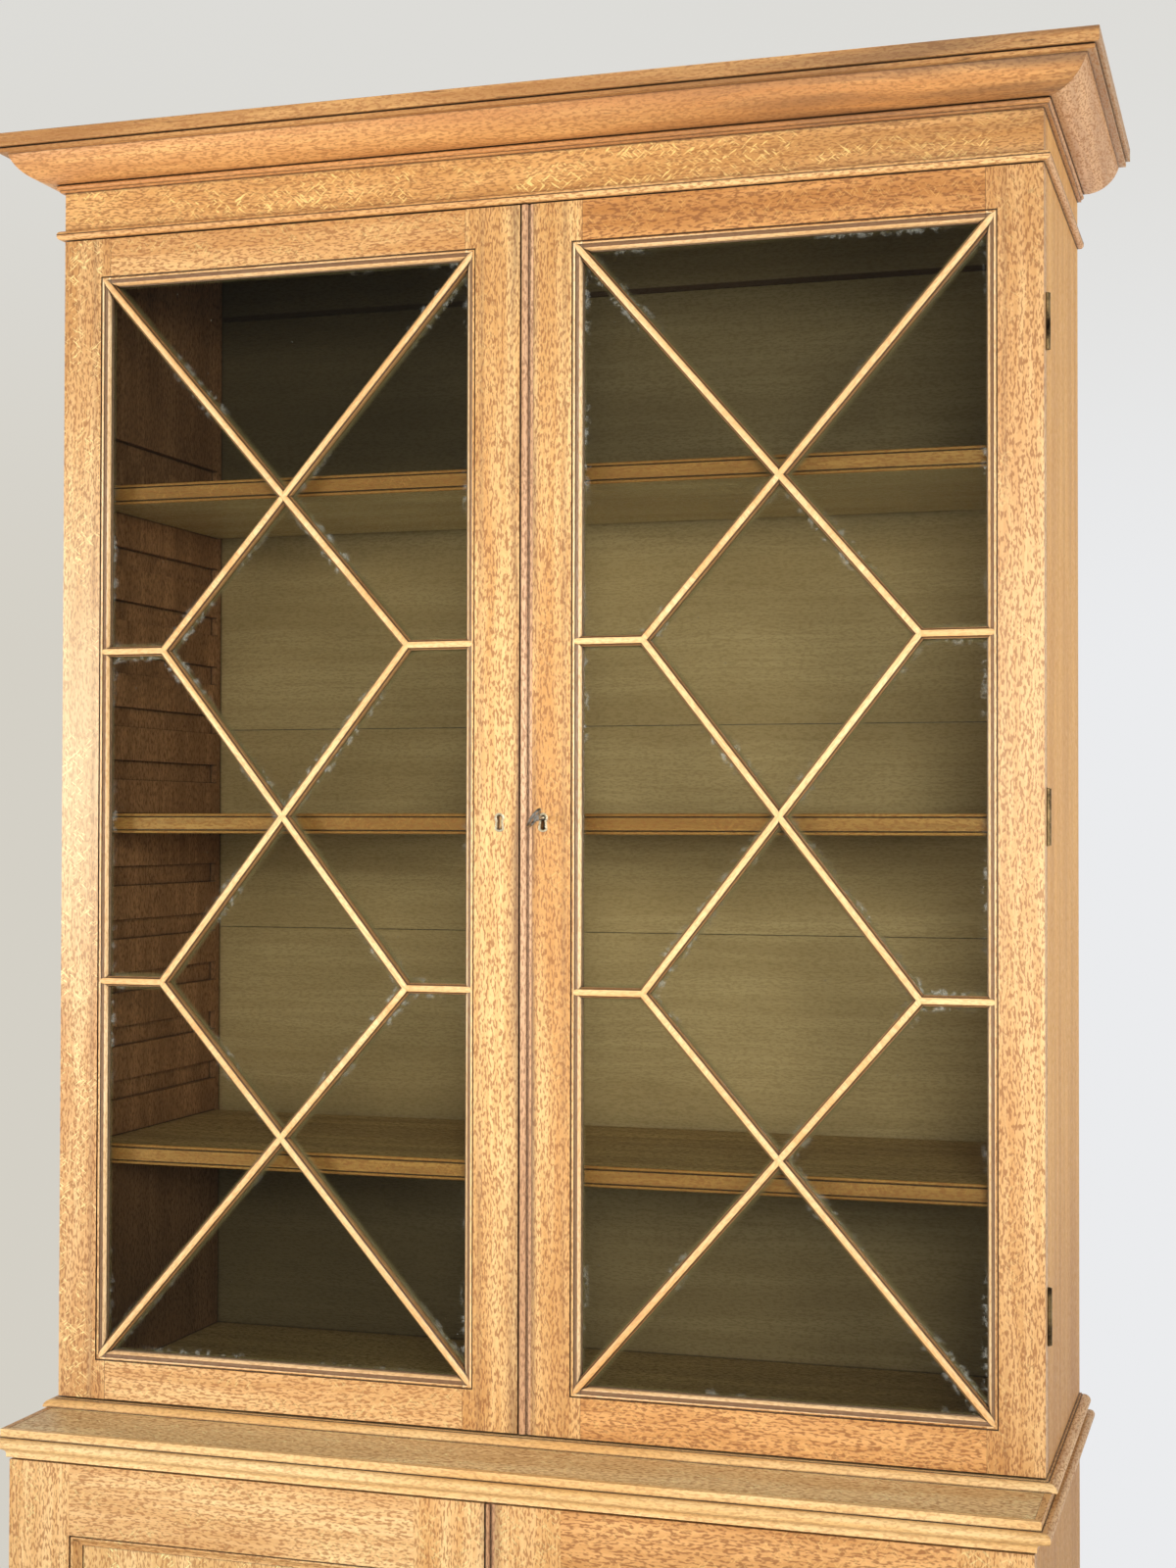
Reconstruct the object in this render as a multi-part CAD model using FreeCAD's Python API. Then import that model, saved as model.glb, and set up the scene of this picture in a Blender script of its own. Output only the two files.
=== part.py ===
import FreeCAD, Part
import math
import os
from FreeCAD import Vector

# A two stage oak display cabinet. Glazed upper case with lattice doors on a base with panelled doors.
# Millimetres, Z up, X to the right, the back towards plus Y, origin under the middle of the cabinet.

# Whole cabinet. The seam is the play between metal parts, and the overrun is how far a cutter stands
# out past the piece that it cuts.
case_width = 1220.0
upper_depth = 410.0
step_depth = 114.0
base_height = 840.0
upper_case_height = 1465.0
side_thickness = 24.0
door_thickness = 25.0
door_back_gap = 0.5
meeting_gap = 1.6
back_board_thickness = 14.0
back_rebate_width = 10.0
back_board_width = 278.0
back_board_seam = 0.6
housing_depth = 8.0
metal_seam = 0.3
overrun = 6.0

# Base
plinth_height = 96.0
plinth_thickness = 22.0
plinth_out = 6.0
floor_board_thickness = 22.0
floor_board_round = 5.6
base_top_thickness = 24.0
front_rail_height = 46.0
front_rail_thickness = 22.0
base_shelf_height = 330.0
base_shelf_thickness = 20.0
base_shelf_set_back = 30.0
cleat_height = 28.0
cleat_thickness = 18.0
cleat_set_back = 12.0
first_base_board_height = 240.0

# Waist moulding, measured outwards from the lower doors and sides, and down from the base top
waist_height = 34.4
waist_fillet_out = 8.0
waist_fillet_height = 9.4
waist_quirk = 1.0
waist_nose_out = 19.0
waist_nose_radius = 6.0
waist_neck_height = 2.2
waist_cove_foot_out = 3.0
waist_cove_height = 6.4
waist_cove_sag = 1.4

# Moulding round the foot of the upper case
foot_height = 10.0
foot_out = 14.0
foot_lip_height = 2.0
foot_top_fillet = 1.6
foot_top_out = 3.0
foot_bulge = 2.6

# Upper case
case_floor_thickness = 24.0
case_ceiling_thickness = 26.0
first_upper_board_height = 305.5
highest_seam_height = 1443.5
groove_count = 14
groove_pitch = 69.4
groove_height = 26.0
groove_depth = 9.0
groove_back_stop = 12.0
lowest_groove_height = 300.0
shelf_thickness = 25.0
shelf_set_back = 8.0
shelf_bead_radius = 2.0
shelf_quirk = 1.2
bottom_shelf_groove = 0
middle_shelf_groove = 6
top_shelf_groove = 12

# Cornice, heights above the upper case
cornice_base_thickness = 11.0
cornice_base_out = 8.0
cornice_base_round = 4.6
frieze_height = 49.0
neck_height = 9.5
neck_fillet_height = 2.6
neck_fillet_out = 5.0
neck_bead_out = 8.2
ovolo_height = 31.0
ovolo_foot_out = 9.0
ovolo_out = 52.0
ovolo_bulge = 9.0
fascia_height = 22.5
fascia_out = 66.0
fascia_lip_out = 61.0
fascia_lip_height = 5.0
fascia_quirk = 1.4
fascia_quirk_depth = 3.0
fascia_board_inside = 60.0

# Doors
upper_door_foot_gap = 2.0
upper_door_top_gap = 1.5
upper_meeting_x = -2.0
upper_hinge_stile = 51.0
upper_left_meeting_stile = 55.9
upper_right_meeting_stile = 47.5
upper_rail = 47.5
upper_bead_width = 15.2
upper_bead_round = 8.4
lower_door_foot_gap = 3.0
lower_door_top_gap = 3.3
lower_meeting_x = -2.0
lower_hinge_stile = 81.0
lower_left_meeting_stile = 85.5
lower_right_meeting_stile = 78.0
lower_top_rail = 84.0
lower_bottom_rail = 100.0
lower_bead_width = 11.0
lower_bead_round = 4.8
bead_shoulder_depth = 1.0
bead_quirk = 3.4
bead_quirk_depth = 2.6
bead_proud = 1.2
tenon_length = 38.0
tenon_thickness = 7.0
tenon_depth = 9.0
tenon_shoulder = 8.0

# Glazing: sticking worked on the frame, bars of the lattice, panes behind them
stick_width = 13.0
stick_quirk = 1.6
stick_quirk_depth = 2.4
stick_top_depth = 0.8
stick_lip_width = 2.6
stick_lip_step = 1.0
stick_foot_depth = 7.6
stick_fillet = 1.2
stick_bulge = 2.0
rebate_width = 7.0
glass_depth = 12.0
glass_thickness = 3.0
bar_width = 12.2
bar_ridge_width = 7.2
bar_ridge_depth = 0.8
bar_ridge_round = 1.3
bar_ridge_step = 1.1
bar_foot_depth = 5.4
bar_fillet = 0.5
bar_bulge = 0.3
bar_tongue_width = 4.0
bar_depth = 22.0
crossing_height_share = 0.211
node_width_share = 0.65
halving_share = 0.5

# Panels of the lower doors
panel_mould_width = 13.0
panel_mould_quirk = 1.2
panel_mould_quirk_depth = 1.8
panel_bead_radius = 2.0
panel_bead_depth = 0.4
panel_cove_depth = 9.0
panel_cove_sag = 1.6
panel_depth = 10.5
panel_thickness = 8.0
panel_groove = 9.0
panel_play = 1.0

# Butt hinges
hinge_length = 63.5
hinge_leaf_width = 20.0
hinge_leaf_thickness = 1.8
hinge_barrel_radius = 3.2
hinge_pin_radius = 1.5
hinge_pin_out = 1.5
hinge_pin_head = 0.6
hinge_knuckles = 5
hinge_wood_gap = 0.4
upper_hinge_inset = 140.0
lower_hinge_inset = 95.0
screw_head_radius = 3.1
screw_shank_radius = 1.6
screw_length = 14.0
screw_slot_width = 0.9
screw_slot_depth = 0.7
screws_per_leaf = 3

# Locks, keyholes and key
keyhole_radius = 3.5
keyhole_waist_half = 2.0
keyhole_foot_half = 3.4
keyhole_drop = 14.0
keyhole_border = 2.6
escutcheon_depth = 3.0
dummy_keyhole_depth = 5.0
keyhole_backset = 28.5
dummy_backset = 24.2
upper_keyhole_height = 724.0
lower_keyhole_height = 344.0
lock_width = 46.0
lock_height = 52.0
lock_thickness = 13.0
lock_wall = 1.6
lock_bolt_height = 13.0
lock_bolt_thickness = 6.0
lock_bolt_length = 41.0
lock_bolt_rise = 6.0
lock_notch_width = 4.2
lock_throw = 9.0
lock_pocket_depth = 11.0
key_lean_deg = 34.0
key_shank_radius = 2.5
key_bit_length = 8.4
key_bit_width = 5.0
key_bit_thickness = 2.2
key_projection = 47.0
key_bow_height = 27.0
key_bow_length = 22.0
key_bow_wire = 3.4
key_bow_thickness = 3.2
key_bow_bevel = 1.0
key_collar_radius = 3.8
key_collar_length = 3.0

# Flush bolts on the left hand doors
bolt_from_edge = 26.0
bolt_width = 7.0
bolt_thickness = 5.0
bolt_length = 88.0
bolt_plate_width = 17.0
bolt_plate_thickness = 2.0
bolt_plate_margin = 5.0
bolt_travel = 10.0
bolt_knob_place = 56.0
bolt_knob_radius = 4.6
bolt_stem_radius = 2.0
bolt_knob_height = 3.0
bolt_knob_stand = 2.4

# Places worked out from the sizes
half_width = case_width / 2
total_depth = upper_depth + step_depth + waist_nose_out
back_y = total_depth / 2
upper_face_y = back_y - upper_depth
lower_face_y = upper_face_y - step_depth
upper_front_y = upper_face_y + door_thickness + door_back_gap
lower_front_y = lower_face_y + door_thickness + door_back_gap
inner_half = half_width - side_thickness
back_inside_y = back_y - back_board_thickness
floor_z = plinth_height + floor_board_thickness
base_ceiling_z = base_height - base_top_thickness
case_top_z = base_height + upper_case_height
frieze_low_z = case_top_z + cornice_base_thickness
neck_low_z = frieze_low_z + frieze_height
ovolo_low_z = neck_low_z + neck_height
fascia_low_z = ovolo_low_z + ovolo_height
case_head_z = fascia_low_z
highest_seam_z = base_height + highest_seam_height
top_z = fascia_low_z + fascia_height
upper_bottom = base_height + foot_height + upper_door_foot_gap
upper_top = case_top_z - upper_door_top_gap
lower_bottom = floor_z + lower_door_foot_gap
lower_top = base_height - waist_height - lower_door_top_gap
pieces = {}


# Building blocks

def block(x0, x1, y0, y1, z0, z1):
    return Part.makeBox(x1 - x0, y1 - y0, z1 - z0, Vector(x0, y0, z0))


def outline(path, place):
    # A step that holds two points is an arc through the first of them to the second.
    edges = []
    here = path[0]
    steps = list(path[1:])
    last = steps[-1][1] if isinstance(steps[-1][0], tuple) else steps[-1]
    if last != here:
        steps.append(here)
    for step in steps:
        if isinstance(step[0], tuple):
            middle, end = step
            edges.append(Part.Arc(place(*here), place(*middle), place(*end)).toShape())
        else:
            end = step
            edges.append(Part.LineSegment(place(*here), place(*end)).toShape())
        here = end
    return Part.Face(Part.Wire(edges))


def bowed(start, end, bulge):
    # An arc step from start to end whose middle stands off the chord to the left by the bulge.
    across = end[0] - start[0]
    up = end[1] - start[1]
    chord = math.hypot(across, up)
    middle_x = (start[0] + end[0]) / 2 - up / chord * bulge
    middle_y = (start[1] + end[1]) / 2 + across / chord * bulge
    return ((middle_x, middle_y), end)


def unit(start, end):
    length = math.hypot(end[0] - start[0], end[1] - start[1])
    return ((end[0] - start[0]) / length, (end[1] - start[1]) / length)


def plan_prism(corners, low, high):
    face = outline(corners, lambda x, y: Vector(x, y, low))
    return face.extrude(Vector(0, 0, high - low))


def wall_prism(corners, near, far):
    face = outline(corners, lambda x, z: Vector(x, near, z))
    return face.extrude(Vector(0, far - near, 0))


def mirrored(shape):
    return shape.mirror(Vector(0, 0, 0), Vector(1, 0, 0))


def both_sides(shape):
    return [mirrored(shape), shape]


def mitred_set(profile, face_y, front_inside, side_inside):
    # A front length and two returns that meet in mitres. The profile is a path of outward reach and
    # height that starts and ends on its inner side, which lies inside the face by the given distance.
    front_path = profile(-front_inside)
    side_path = profile(-side_inside)
    points = []
    for step in front_path:
        points += list(step) if isinstance(step[0], tuple) else [step]
    reach = max(point[0] for point in points) + overrun
    low = min(point[1] for point in points) - overrun
    high = max(point[1] for point in points) + overrun
    ends = half_width + reach
    corner_x = half_width - side_inside
    corner_y = face_y + side_inside
    behind = face_y + front_inside + overrun
    front = outline(front_path, lambda out, z: Vector(-ends, face_y - out, z))
    front = front.extrude(Vector(2 * ends, 0, 0))
    front_plan = [(-ends, face_y - reach), (ends, face_y - reach),
                  (corner_x, corner_y), (corner_x, behind + side_inside),
                  (-corner_x, behind + side_inside), (-corner_x, corner_y)]
    front = front.common(plan_prism(front_plan, low, high))
    length = back_y - face_y + reach
    side = outline(side_path, lambda out, z: Vector(half_width + out, face_y - reach, z))
    side = side.extrude(Vector(0, length, 0))
    side_plan = [(corner_x, corner_y), (ends, face_y - reach), (ends, back_y), (corner_x, back_y)]
    side = side.common(plan_prism(side_plan, low, high))
    return [front] + both_sides(side)


def round_edges(board, radius, wanted):
    edges = [edge for edge in board.Edges if wanted(edge)]
    return board.makeFillet(radius, edges)


def is_level_and_free(edge):
    # True for the long level edges at the front and the sides, false for uprights and the back.
    box = edge.BoundBox
    level = box.ZLength < metal_seam
    at_back = box.YMin > back_y - metal_seam
    return level and not at_back


def back_board(low, high):
    reach = inner_half + back_rebate_width
    return block(-reach, reach, back_inside_y, back_y, low, high)


def back_boards(low, high, first_height):
    # Boards of one width over the lowest. The last one takes in a rest of less than half a board.
    boards = []
    start = low
    end = low + first_height
    while high - end > back_board_width / 2:
        boards.append(back_board(start, end - back_board_seam))
        start = end
        end = start + back_board_width
    return boards + [back_board(start, high)]


def back_rebate(low, high):
    outer = inner_half + back_rebate_width
    return block(inner_half - overrun, outer, back_inside_y, back_y + overrun, low, high)


# Plinth and base case

def make_plinth():
    outer = half_width + plinth_out
    front_y = lower_face_y - plinth_out
    inner = outer - plinth_thickness
    inner_y = front_y + plinth_thickness
    front_plan = [(-outer, front_y), (outer, front_y), (inner, inner_y), (-inner, inner_y)]
    side_plan = [(inner, inner_y), (outer, front_y), (outer, back_y), (inner, back_y)]
    front = plan_prism(front_plan, 0, plinth_height)
    side = plan_prism(side_plan, 0, plinth_height)
    rear = block(-inner, inner, back_y - plinth_thickness, back_y, 0, plinth_height)
    pieces["plinth_boards"] = [front] + both_sides(side) + [rear]
    floor = block(-outer, outer, front_y, back_y, plinth_height, floor_z)
    top_edges = lambda edge: is_level_and_free(edge) and edge.BoundBox.ZMin > floor_z - metal_seam
    pieces["base_floor_board"] = [round_edges(floor, floor_board_round, top_edges)]


def make_base_case():
    side = block(inner_half, half_width, lower_front_y, back_y, floor_z, base_ceiling_z)
    side = side.cut(back_rebate(floor_z - overrun, base_ceiling_z + overrun))
    pieces["base_side_left"] = [mirrored(side)]
    pieces["base_side_right"] = [side]
    top_board = block(-half_width, half_width, lower_face_y, back_y, base_ceiling_z, base_height)
    pieces["base_top_board"] = [top_board]
    rail_back_y = lower_front_y + front_rail_thickness
    pieces["base_front_rail"] = [block(-inner_half, inner_half, lower_front_y, rail_back_y,
                                       base_ceiling_z - front_rail_height, base_ceiling_z)]
    pieces["base_back_boards"] = back_boards(floor_z, base_ceiling_z, first_base_board_height)
    shelf_z = floor_z + base_shelf_height
    shelf_front_y = lower_front_y + base_shelf_set_back
    pieces["base_shelf"] = [block(-inner_half, inner_half, shelf_front_y, back_inside_y,
                                  shelf_z, shelf_z + base_shelf_thickness)]
    cleat = block(inner_half - cleat_thickness, inner_half, shelf_front_y + cleat_set_back, back_inside_y,
                  shelf_z - cleat_height, shelf_z)
    pieces["base_shelf_cleats"] = both_sides(cleat)


def waist_profile(inner):
    quirk_z = base_height - waist_fillet_height - waist_quirk
    quirk_out = waist_fillet_out - waist_quirk
    nose_x = waist_nose_out - waist_nose_radius
    nose_z = quirk_z - waist_nose_radius
    under_z = nose_z - waist_nose_radius
    neck_z = under_z - waist_neck_height
    cove_foot = (waist_cove_foot_out, neck_z - waist_cove_height)
    return [(inner, base_height), (waist_fillet_out, base_height),
            (waist_fillet_out, quirk_z + waist_quirk), (quirk_out, quirk_z + waist_quirk),
            (quirk_out, quirk_z), (nose_x, quirk_z), ((waist_nose_out, nose_z), (nose_x, under_z)),
            (waist_fillet_out, under_z), (waist_fillet_out, neck_z),
            bowed((waist_fillet_out, neck_z), cove_foot, -waist_cove_sag),
            (waist_cove_foot_out, base_height - waist_height), (inner, base_height - waist_height)]


def foot_profile(inner):
    low = base_height
    shoulder = (foot_top_out, low + foot_height - foot_top_fillet)
    lip = (foot_out, low + foot_lip_height)
    return [(inner, low), (foot_out, low), lip, bowed(lip, shoulder, -foot_bulge),
            (foot_top_out, low + foot_height), (inner, low + foot_height)]


# Upper case

def groove_z(index):
    return base_height + lowest_groove_height + index * groove_pitch


def make_upper_side():
    # The sides, the ceiling and the back go up behind the cornice, which is planted on them.
    side = block(inner_half, half_width, upper_front_y, back_y, base_height, case_head_z)
    groove_end = back_inside_y - groove_back_stop
    cuts = [back_rebate(base_height - overrun, case_head_z + overrun)]
    for index in range(groove_count):
        low = groove_z(index)
        cuts.append(block(inner_half - overrun, inner_half + groove_depth,
                          upper_front_y - overrun, groove_end, low, low + groove_height))
    cuts += [case_floor_blank(), case_ceiling_blank()]
    return side.cut(cuts)


def case_floor_blank():
    return block(-inner_half - housing_depth, inner_half + housing_depth, upper_front_y, back_inside_y,
                 base_height, base_height + case_floor_thickness)


def case_ceiling_blank():
    return block(-inner_half - housing_depth, inner_half + housing_depth, upper_front_y, back_inside_y,
                 case_head_z - case_ceiling_thickness, case_head_z)


def make_shelf(index):
    low = groove_z(index)
    high = low + shelf_thickness
    front = upper_front_y + shelf_set_back
    rear = back_inside_y - groove_back_stop - metal_seam
    bead = shelf_bead_radius
    inset = front + bead
    low_quirk = low + 2 * bead
    high_quirk = high - 2 * bead
    path = [(rear, low), (inset, low), ((front, low + bead), (inset, low_quirk)),
            (inset, low_quirk + shelf_quirk), (front, low_quirk + shelf_quirk),
            (front, high_quirk - shelf_quirk), (inset, high_quirk - shelf_quirk),
            (inset, high_quirk), ((front, high - bead), (inset, high)), (rear, high)]
    reach = inner_half + groove_depth - metal_seam
    return outline(path, lambda y, z: Vector(-reach, y, z)).extrude(Vector(2 * reach, 0, 0))


def make_upper_case():
    side = make_upper_side()
    pieces["upper_side_left"] = [mirrored(side)]
    pieces["upper_side_right"] = [side]
    pieces["upper_floor_board"] = [case_floor_blank()]
    pieces["upper_ceiling_board"] = [case_ceiling_blank()]
    boards = back_boards(base_height, highest_seam_z - back_board_seam, first_upper_board_height)
    pieces["upper_back_boards"] = boards + [back_board(highest_seam_z, case_head_z)]
    pieces["upper_shelf_bottom"] = [make_shelf(bottom_shelf_groove)]
    pieces["upper_shelf_middle"] = [make_shelf(middle_shelf_groove)]
    pieces["upper_shelf_top"] = [make_shelf(top_shelf_groove)]


# Cornice

def cornice_base_profile(inner):
    out = cornice_base_out
    shoulder = out - cornice_base_round
    bulge = cornice_base_round * (1 - math.sqrt(1 / 2))
    low = (out, case_top_z + cornice_base_round)
    high = (out, frieze_low_z - cornice_base_round)
    return [(inner, case_top_z), (shoulder, case_top_z), bowed((shoulder, case_top_z), low, -bulge),
            high, bowed(high, (shoulder, frieze_low_z), -bulge), (inner, frieze_low_z)]


def neck_profile(inner):
    fillet_z = neck_low_z + neck_fillet_height
    bead_middle = (neck_bead_out, (fillet_z + ovolo_low_z) / 2)
    return [(inner, neck_low_z), (neck_fillet_out, neck_low_z), (neck_fillet_out, fillet_z),
            (bead_middle, (neck_fillet_out, ovolo_low_z)), (inner, ovolo_low_z)]


def ovolo_profile(inner):
    foot = (ovolo_foot_out, ovolo_low_z)
    lip = (ovolo_out, fascia_low_z)
    return [(inner, ovolo_low_z), foot, bowed(foot, lip, -ovolo_bulge), (inner, fascia_low_z)]


def fascia_profile(inner):
    lip_z = fascia_low_z + fascia_lip_height
    groove = fascia_lip_out - fascia_quirk_depth
    face_low_z = lip_z + fascia_quirk
    return [(inner, fascia_low_z), (fascia_lip_out, fascia_low_z), (fascia_lip_out, lip_z),
            (groove, lip_z), (groove, face_low_z), (fascia_out, face_low_z),
            (fascia_out, top_z), (inner, top_z)]


def make_cornice():
    front_thickness = door_thickness + door_back_gap
    pieces["cornice_base_board"] = mitred_set(cornice_base_profile, upper_face_y, front_thickness, 0)
    pieces["cornice_frieze"] = [block(-half_width, half_width, upper_face_y, upper_front_y,
                                      frieze_low_z, fascia_low_z)]
    pieces["cornice_neck"] = mitred_set(neck_profile, upper_face_y, 0, 0)
    pieces["cornice_ovolo"] = mitred_set(ovolo_profile, upper_face_y, 0, 0)
    fascia = mitred_set(fascia_profile, upper_face_y, fascia_board_inside, fascia_board_inside)
    pieces["cornice_fascia"] = fascia
    well = half_width - fascia_board_inside
    pieces["cornice_dust_board"] = [block(-well, well, upper_face_y + fascia_board_inside, back_y,
                                          fascia_low_z, top_z)]


# Doors

class Door:
    # One framed door: its edges, its front face, and the lines where its mouldings start.
    def __init__(self, left, right, bottom, top, face, stiles, rails, mould_width):
        self.left = left
        self.right = right
        self.bottom = bottom
        self.top = top
        self.face = face
        self.back = face + door_thickness
        self.x0 = left + stiles[0]
        self.x1 = right - stiles[1]
        self.z0 = bottom + rails[0]
        self.z1 = top - rails[1]
        self.mould = mould_width
        self.shoulder = 0


def stick_path():
    # The waste in front of the sticking, in distance from its outer line and depth from the door's face.
    lip_end = stick_quirk + stick_lip_width
    shoulder = (lip_end, stick_top_depth + stick_lip_step)
    foot = (stick_width - stick_fillet, stick_foot_depth)
    far = stick_width + overrun
    return [(0, -overrun), (0, stick_quirk_depth), (stick_quirk, stick_quirk_depth),
            (stick_quirk, stick_top_depth), (lip_end, stick_top_depth), shoulder,
            bowed(shoulder, foot, -stick_bulge), (stick_width, stick_foot_depth),
            (far, stick_foot_depth), (far, -overrun)]


def panel_mould_path():
    start = panel_mould_quirk
    bead_end = start + 2 * panel_bead_radius
    cove = (bead_end, panel_bead_depth + panel_bead_radius)
    foot = (panel_mould_width, panel_cove_depth)
    far = panel_mould_width + overrun
    return [(0, -overrun), (0, panel_mould_quirk_depth), (start, panel_mould_quirk_depth),
            (start, cove[1]), ((start + panel_bead_radius, panel_bead_depth), cove),
            bowed(cove, foot, panel_cove_sag), (far, panel_cove_depth), (far, -overrun)]


def moulding_waste(door, path):
    # Four lengths of waste round the opening of a door frame, mitred where they meet.
    deep = door.mould + overrun
    near = door.face - 2 * overrun
    outer = [(door.x0, door.z0), (door.x0, door.z1), (door.x1, door.z1), (door.x1, door.z0)]
    inner = [(door.x0 + deep, door.z0 + deep), (door.x0 + deep, door.z1 - deep),
             (door.x1 - deep, door.z1 - deep), (door.x1 - deep, door.z0 + deep)]
    waste = []
    for index, start in enumerate(outer):
        following = (index + 1) % len(outer)
        end = outer[following]
        along = unit(start, end)
        inward = (along[1], -along[0])
        place = lambda s, v: Vector(start[0] + inward[0] * s, door.face + v, start[1] + inward[1] * s)
        length = outline(path, place).extrude(Vector(end[0] - start[0], 0, end[1] - start[1]))
        corners = [start, end, inner[following], inner[index]]
        waste.append(length.common(wall_prism(corners, near, door.back)))
    return waste


def whole_frame(door, path, recess_out, recess_near, recess_far):
    # The door frame before it is parted: opening, moulding and the rebate or groove behind the moulding.
    mould = door.mould
    opening = block(door.x0 + mould, door.x1 - mould, door.face - overrun, door.back + overrun,
                    door.z0 + mould, door.z1 - mould)
    edge = mould - recess_out
    recess = block(door.x0 + edge, door.x1 - edge, door.face + recess_near, door.face + recess_far,
                   door.z0 + edge, door.z1 - edge)
    frame = block(door.left, door.right, door.face, door.back, door.bottom, door.top)
    return frame.cut([opening, recess] + moulding_waste(door, path))


def stile_region(door, edge_x, line_x, inward):
    # The part of the frame that belongs to one stile. Its shoulder line lies inward of the moulding's
    # outer line by the door's shoulder, and the mouldings part on a mitre.
    shoulder = line_x + inward * door.shoulder
    sight = line_x + inward * door.mould
    beyond = edge_x - inward * overrun
    low = door.bottom - overrun
    high = door.top + overrun
    corners = [(beyond, low), (shoulder, low), (shoulder, door.z0), (sight, door.z0 + door.mould),
               (sight, door.z1 - door.mould), (shoulder, door.z1), (shoulder, high), (beyond, high)]
    return wall_prism(corners, door.face - overrun, door.back + overrun)


def part_frame(door, frame):
    # Two stiles that run through and two rails tenoned between them.
    left_region = stile_region(door, door.left, door.x0, 1)
    right_region = stile_region(door, door.right, door.x1, -1)
    stiles = [frame.common(left_region), frame.common(right_region)]
    rails = frame.cut([left_region, right_region]).Solids
    rails.sort(key=lambda rail: rail.CenterOfMass.z)
    near = door.face + tenon_depth
    far = near + tenon_thickness
    spans = [(door.bottom + tenon_shoulder, door.z0 - tenon_shoulder / 2),
             (door.z1 + tenon_shoulder / 2, door.top - tenon_shoulder)]
    left_end = door.x0 + door.shoulder
    right_end = door.x1 - door.shoulder
    tenons = []
    for index, (low, high) in enumerate(spans):
        left_tenon = block(left_end - tenon_length, left_end, near, far, low, high)
        right_tenon = block(right_end, right_end + tenon_length, near, far, low, high)
        rails[index] = rails[index].fuse([left_tenon, right_tenon]).removeSplitter()
        tenons += [left_tenon, right_tenon]
    stiles = [stile.cut(tenons) for stile in stiles]
    return stiles, rails


def bar_path():
    half = bar_width / 2
    ridge = bar_ridge_width / 2
    tongue = bar_tongue_width / 2
    foot = (half - bar_fillet, bar_foot_depth)
    left_foot = (-foot[0], foot[1])
    ridge_edge = bar_ridge_depth + bar_ridge_round
    slope_depth = ridge_edge + bar_ridge_step
    right_slope = (ridge, slope_depth)
    left_slope = (-ridge, slope_depth)
    return [(-ridge, ridge_edge), ((0, bar_ridge_depth), (ridge, ridge_edge)), right_slope,
            bowed(right_slope, foot, -bar_bulge),
            (half, bar_foot_depth), (half, glass_depth), (tongue, glass_depth), (tongue, bar_depth),
            (-tongue, bar_depth), (-tongue, glass_depth), (-half, glass_depth), (-half, bar_foot_depth),
            left_foot, bowed(left_foot, left_slope, -bar_bulge)]


class Lattice:
    # The points of the glazing pattern of one door, on the outer line of its sticking.
    def __init__(self, door):
        self.middle_x = (door.x0 + door.x1) / 2
        self.middle_z = (door.z0 + door.z1) / 2
        drop = (door.z1 - door.z0) * crossing_height_share
        out = (door.x1 - door.x0) / 2 * node_width_share
        node_drop = drop * (1 + node_width_share)
        self.top_left = (door.x0, door.z1)
        self.top_right = (door.x1, door.z1)
        self.low_left = (door.x0, door.z0)
        self.low_right = (door.x1, door.z0)
        self.top_cross = (self.middle_x, door.z1 - drop)
        self.middle_cross = (self.middle_x, self.middle_z)
        self.low_cross = (self.middle_x, door.z0 + drop)
        self.high_left = (self.middle_x - out, door.z1 - node_drop)
        self.high_right = (self.middle_x + out, door.z1 - node_drop)
        self.deep_left = (self.middle_x - out, door.z0 + node_drop)
        self.deep_right = (self.middle_x + out, door.z0 + node_drop)
        self.stile_high_left = (door.x0, door.z1 - node_drop)
        self.stile_high_right = (door.x1, door.z1 - node_drop)
        self.stile_deep_left = (door.x0, door.z0 + node_drop)
        self.stile_deep_right = (door.x1, door.z0 + node_drop)


def straight_bar(door, start, end):
    along = unit(start, end)
    length = math.hypot(end[0] - start[0], end[1] - start[1]) + 2 * bar_width
    origin = (start[0] - along[0] * bar_width, start[1] - along[1] * bar_width)
    place = lambda u, v: Vector(origin[0] - along[1] * u, door.face + v, origin[1] + along[0] * u)
    return outline(bar_path(), place).extrude(Vector(along[0] * length, 0, along[1] * length))


def mitre_waste(door, point, own_end, other_end):
    # The half space beyond the line that halves the angle between two bars which meet at a point.
    own = unit(point, own_end)
    other = unit(point, other_end)
    away = unit(own, other)
    reach = 3 * bar_width
    side = (-away[1] * reach, away[0] * reach)
    deep = (away[0] * reach, away[1] * reach)
    corners = [(point[0] + side[0], point[1] + side[1]), (point[0] - side[0], point[1] - side[1]),
               (point[0] - side[0] + deep[0], point[1] - side[1] + deep[1]),
               (point[0] + side[0] + deep[0], point[1] + side[1] + deep[1])]
    return wall_prism(corners, door.face - overrun, door.back + overrun)


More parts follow.
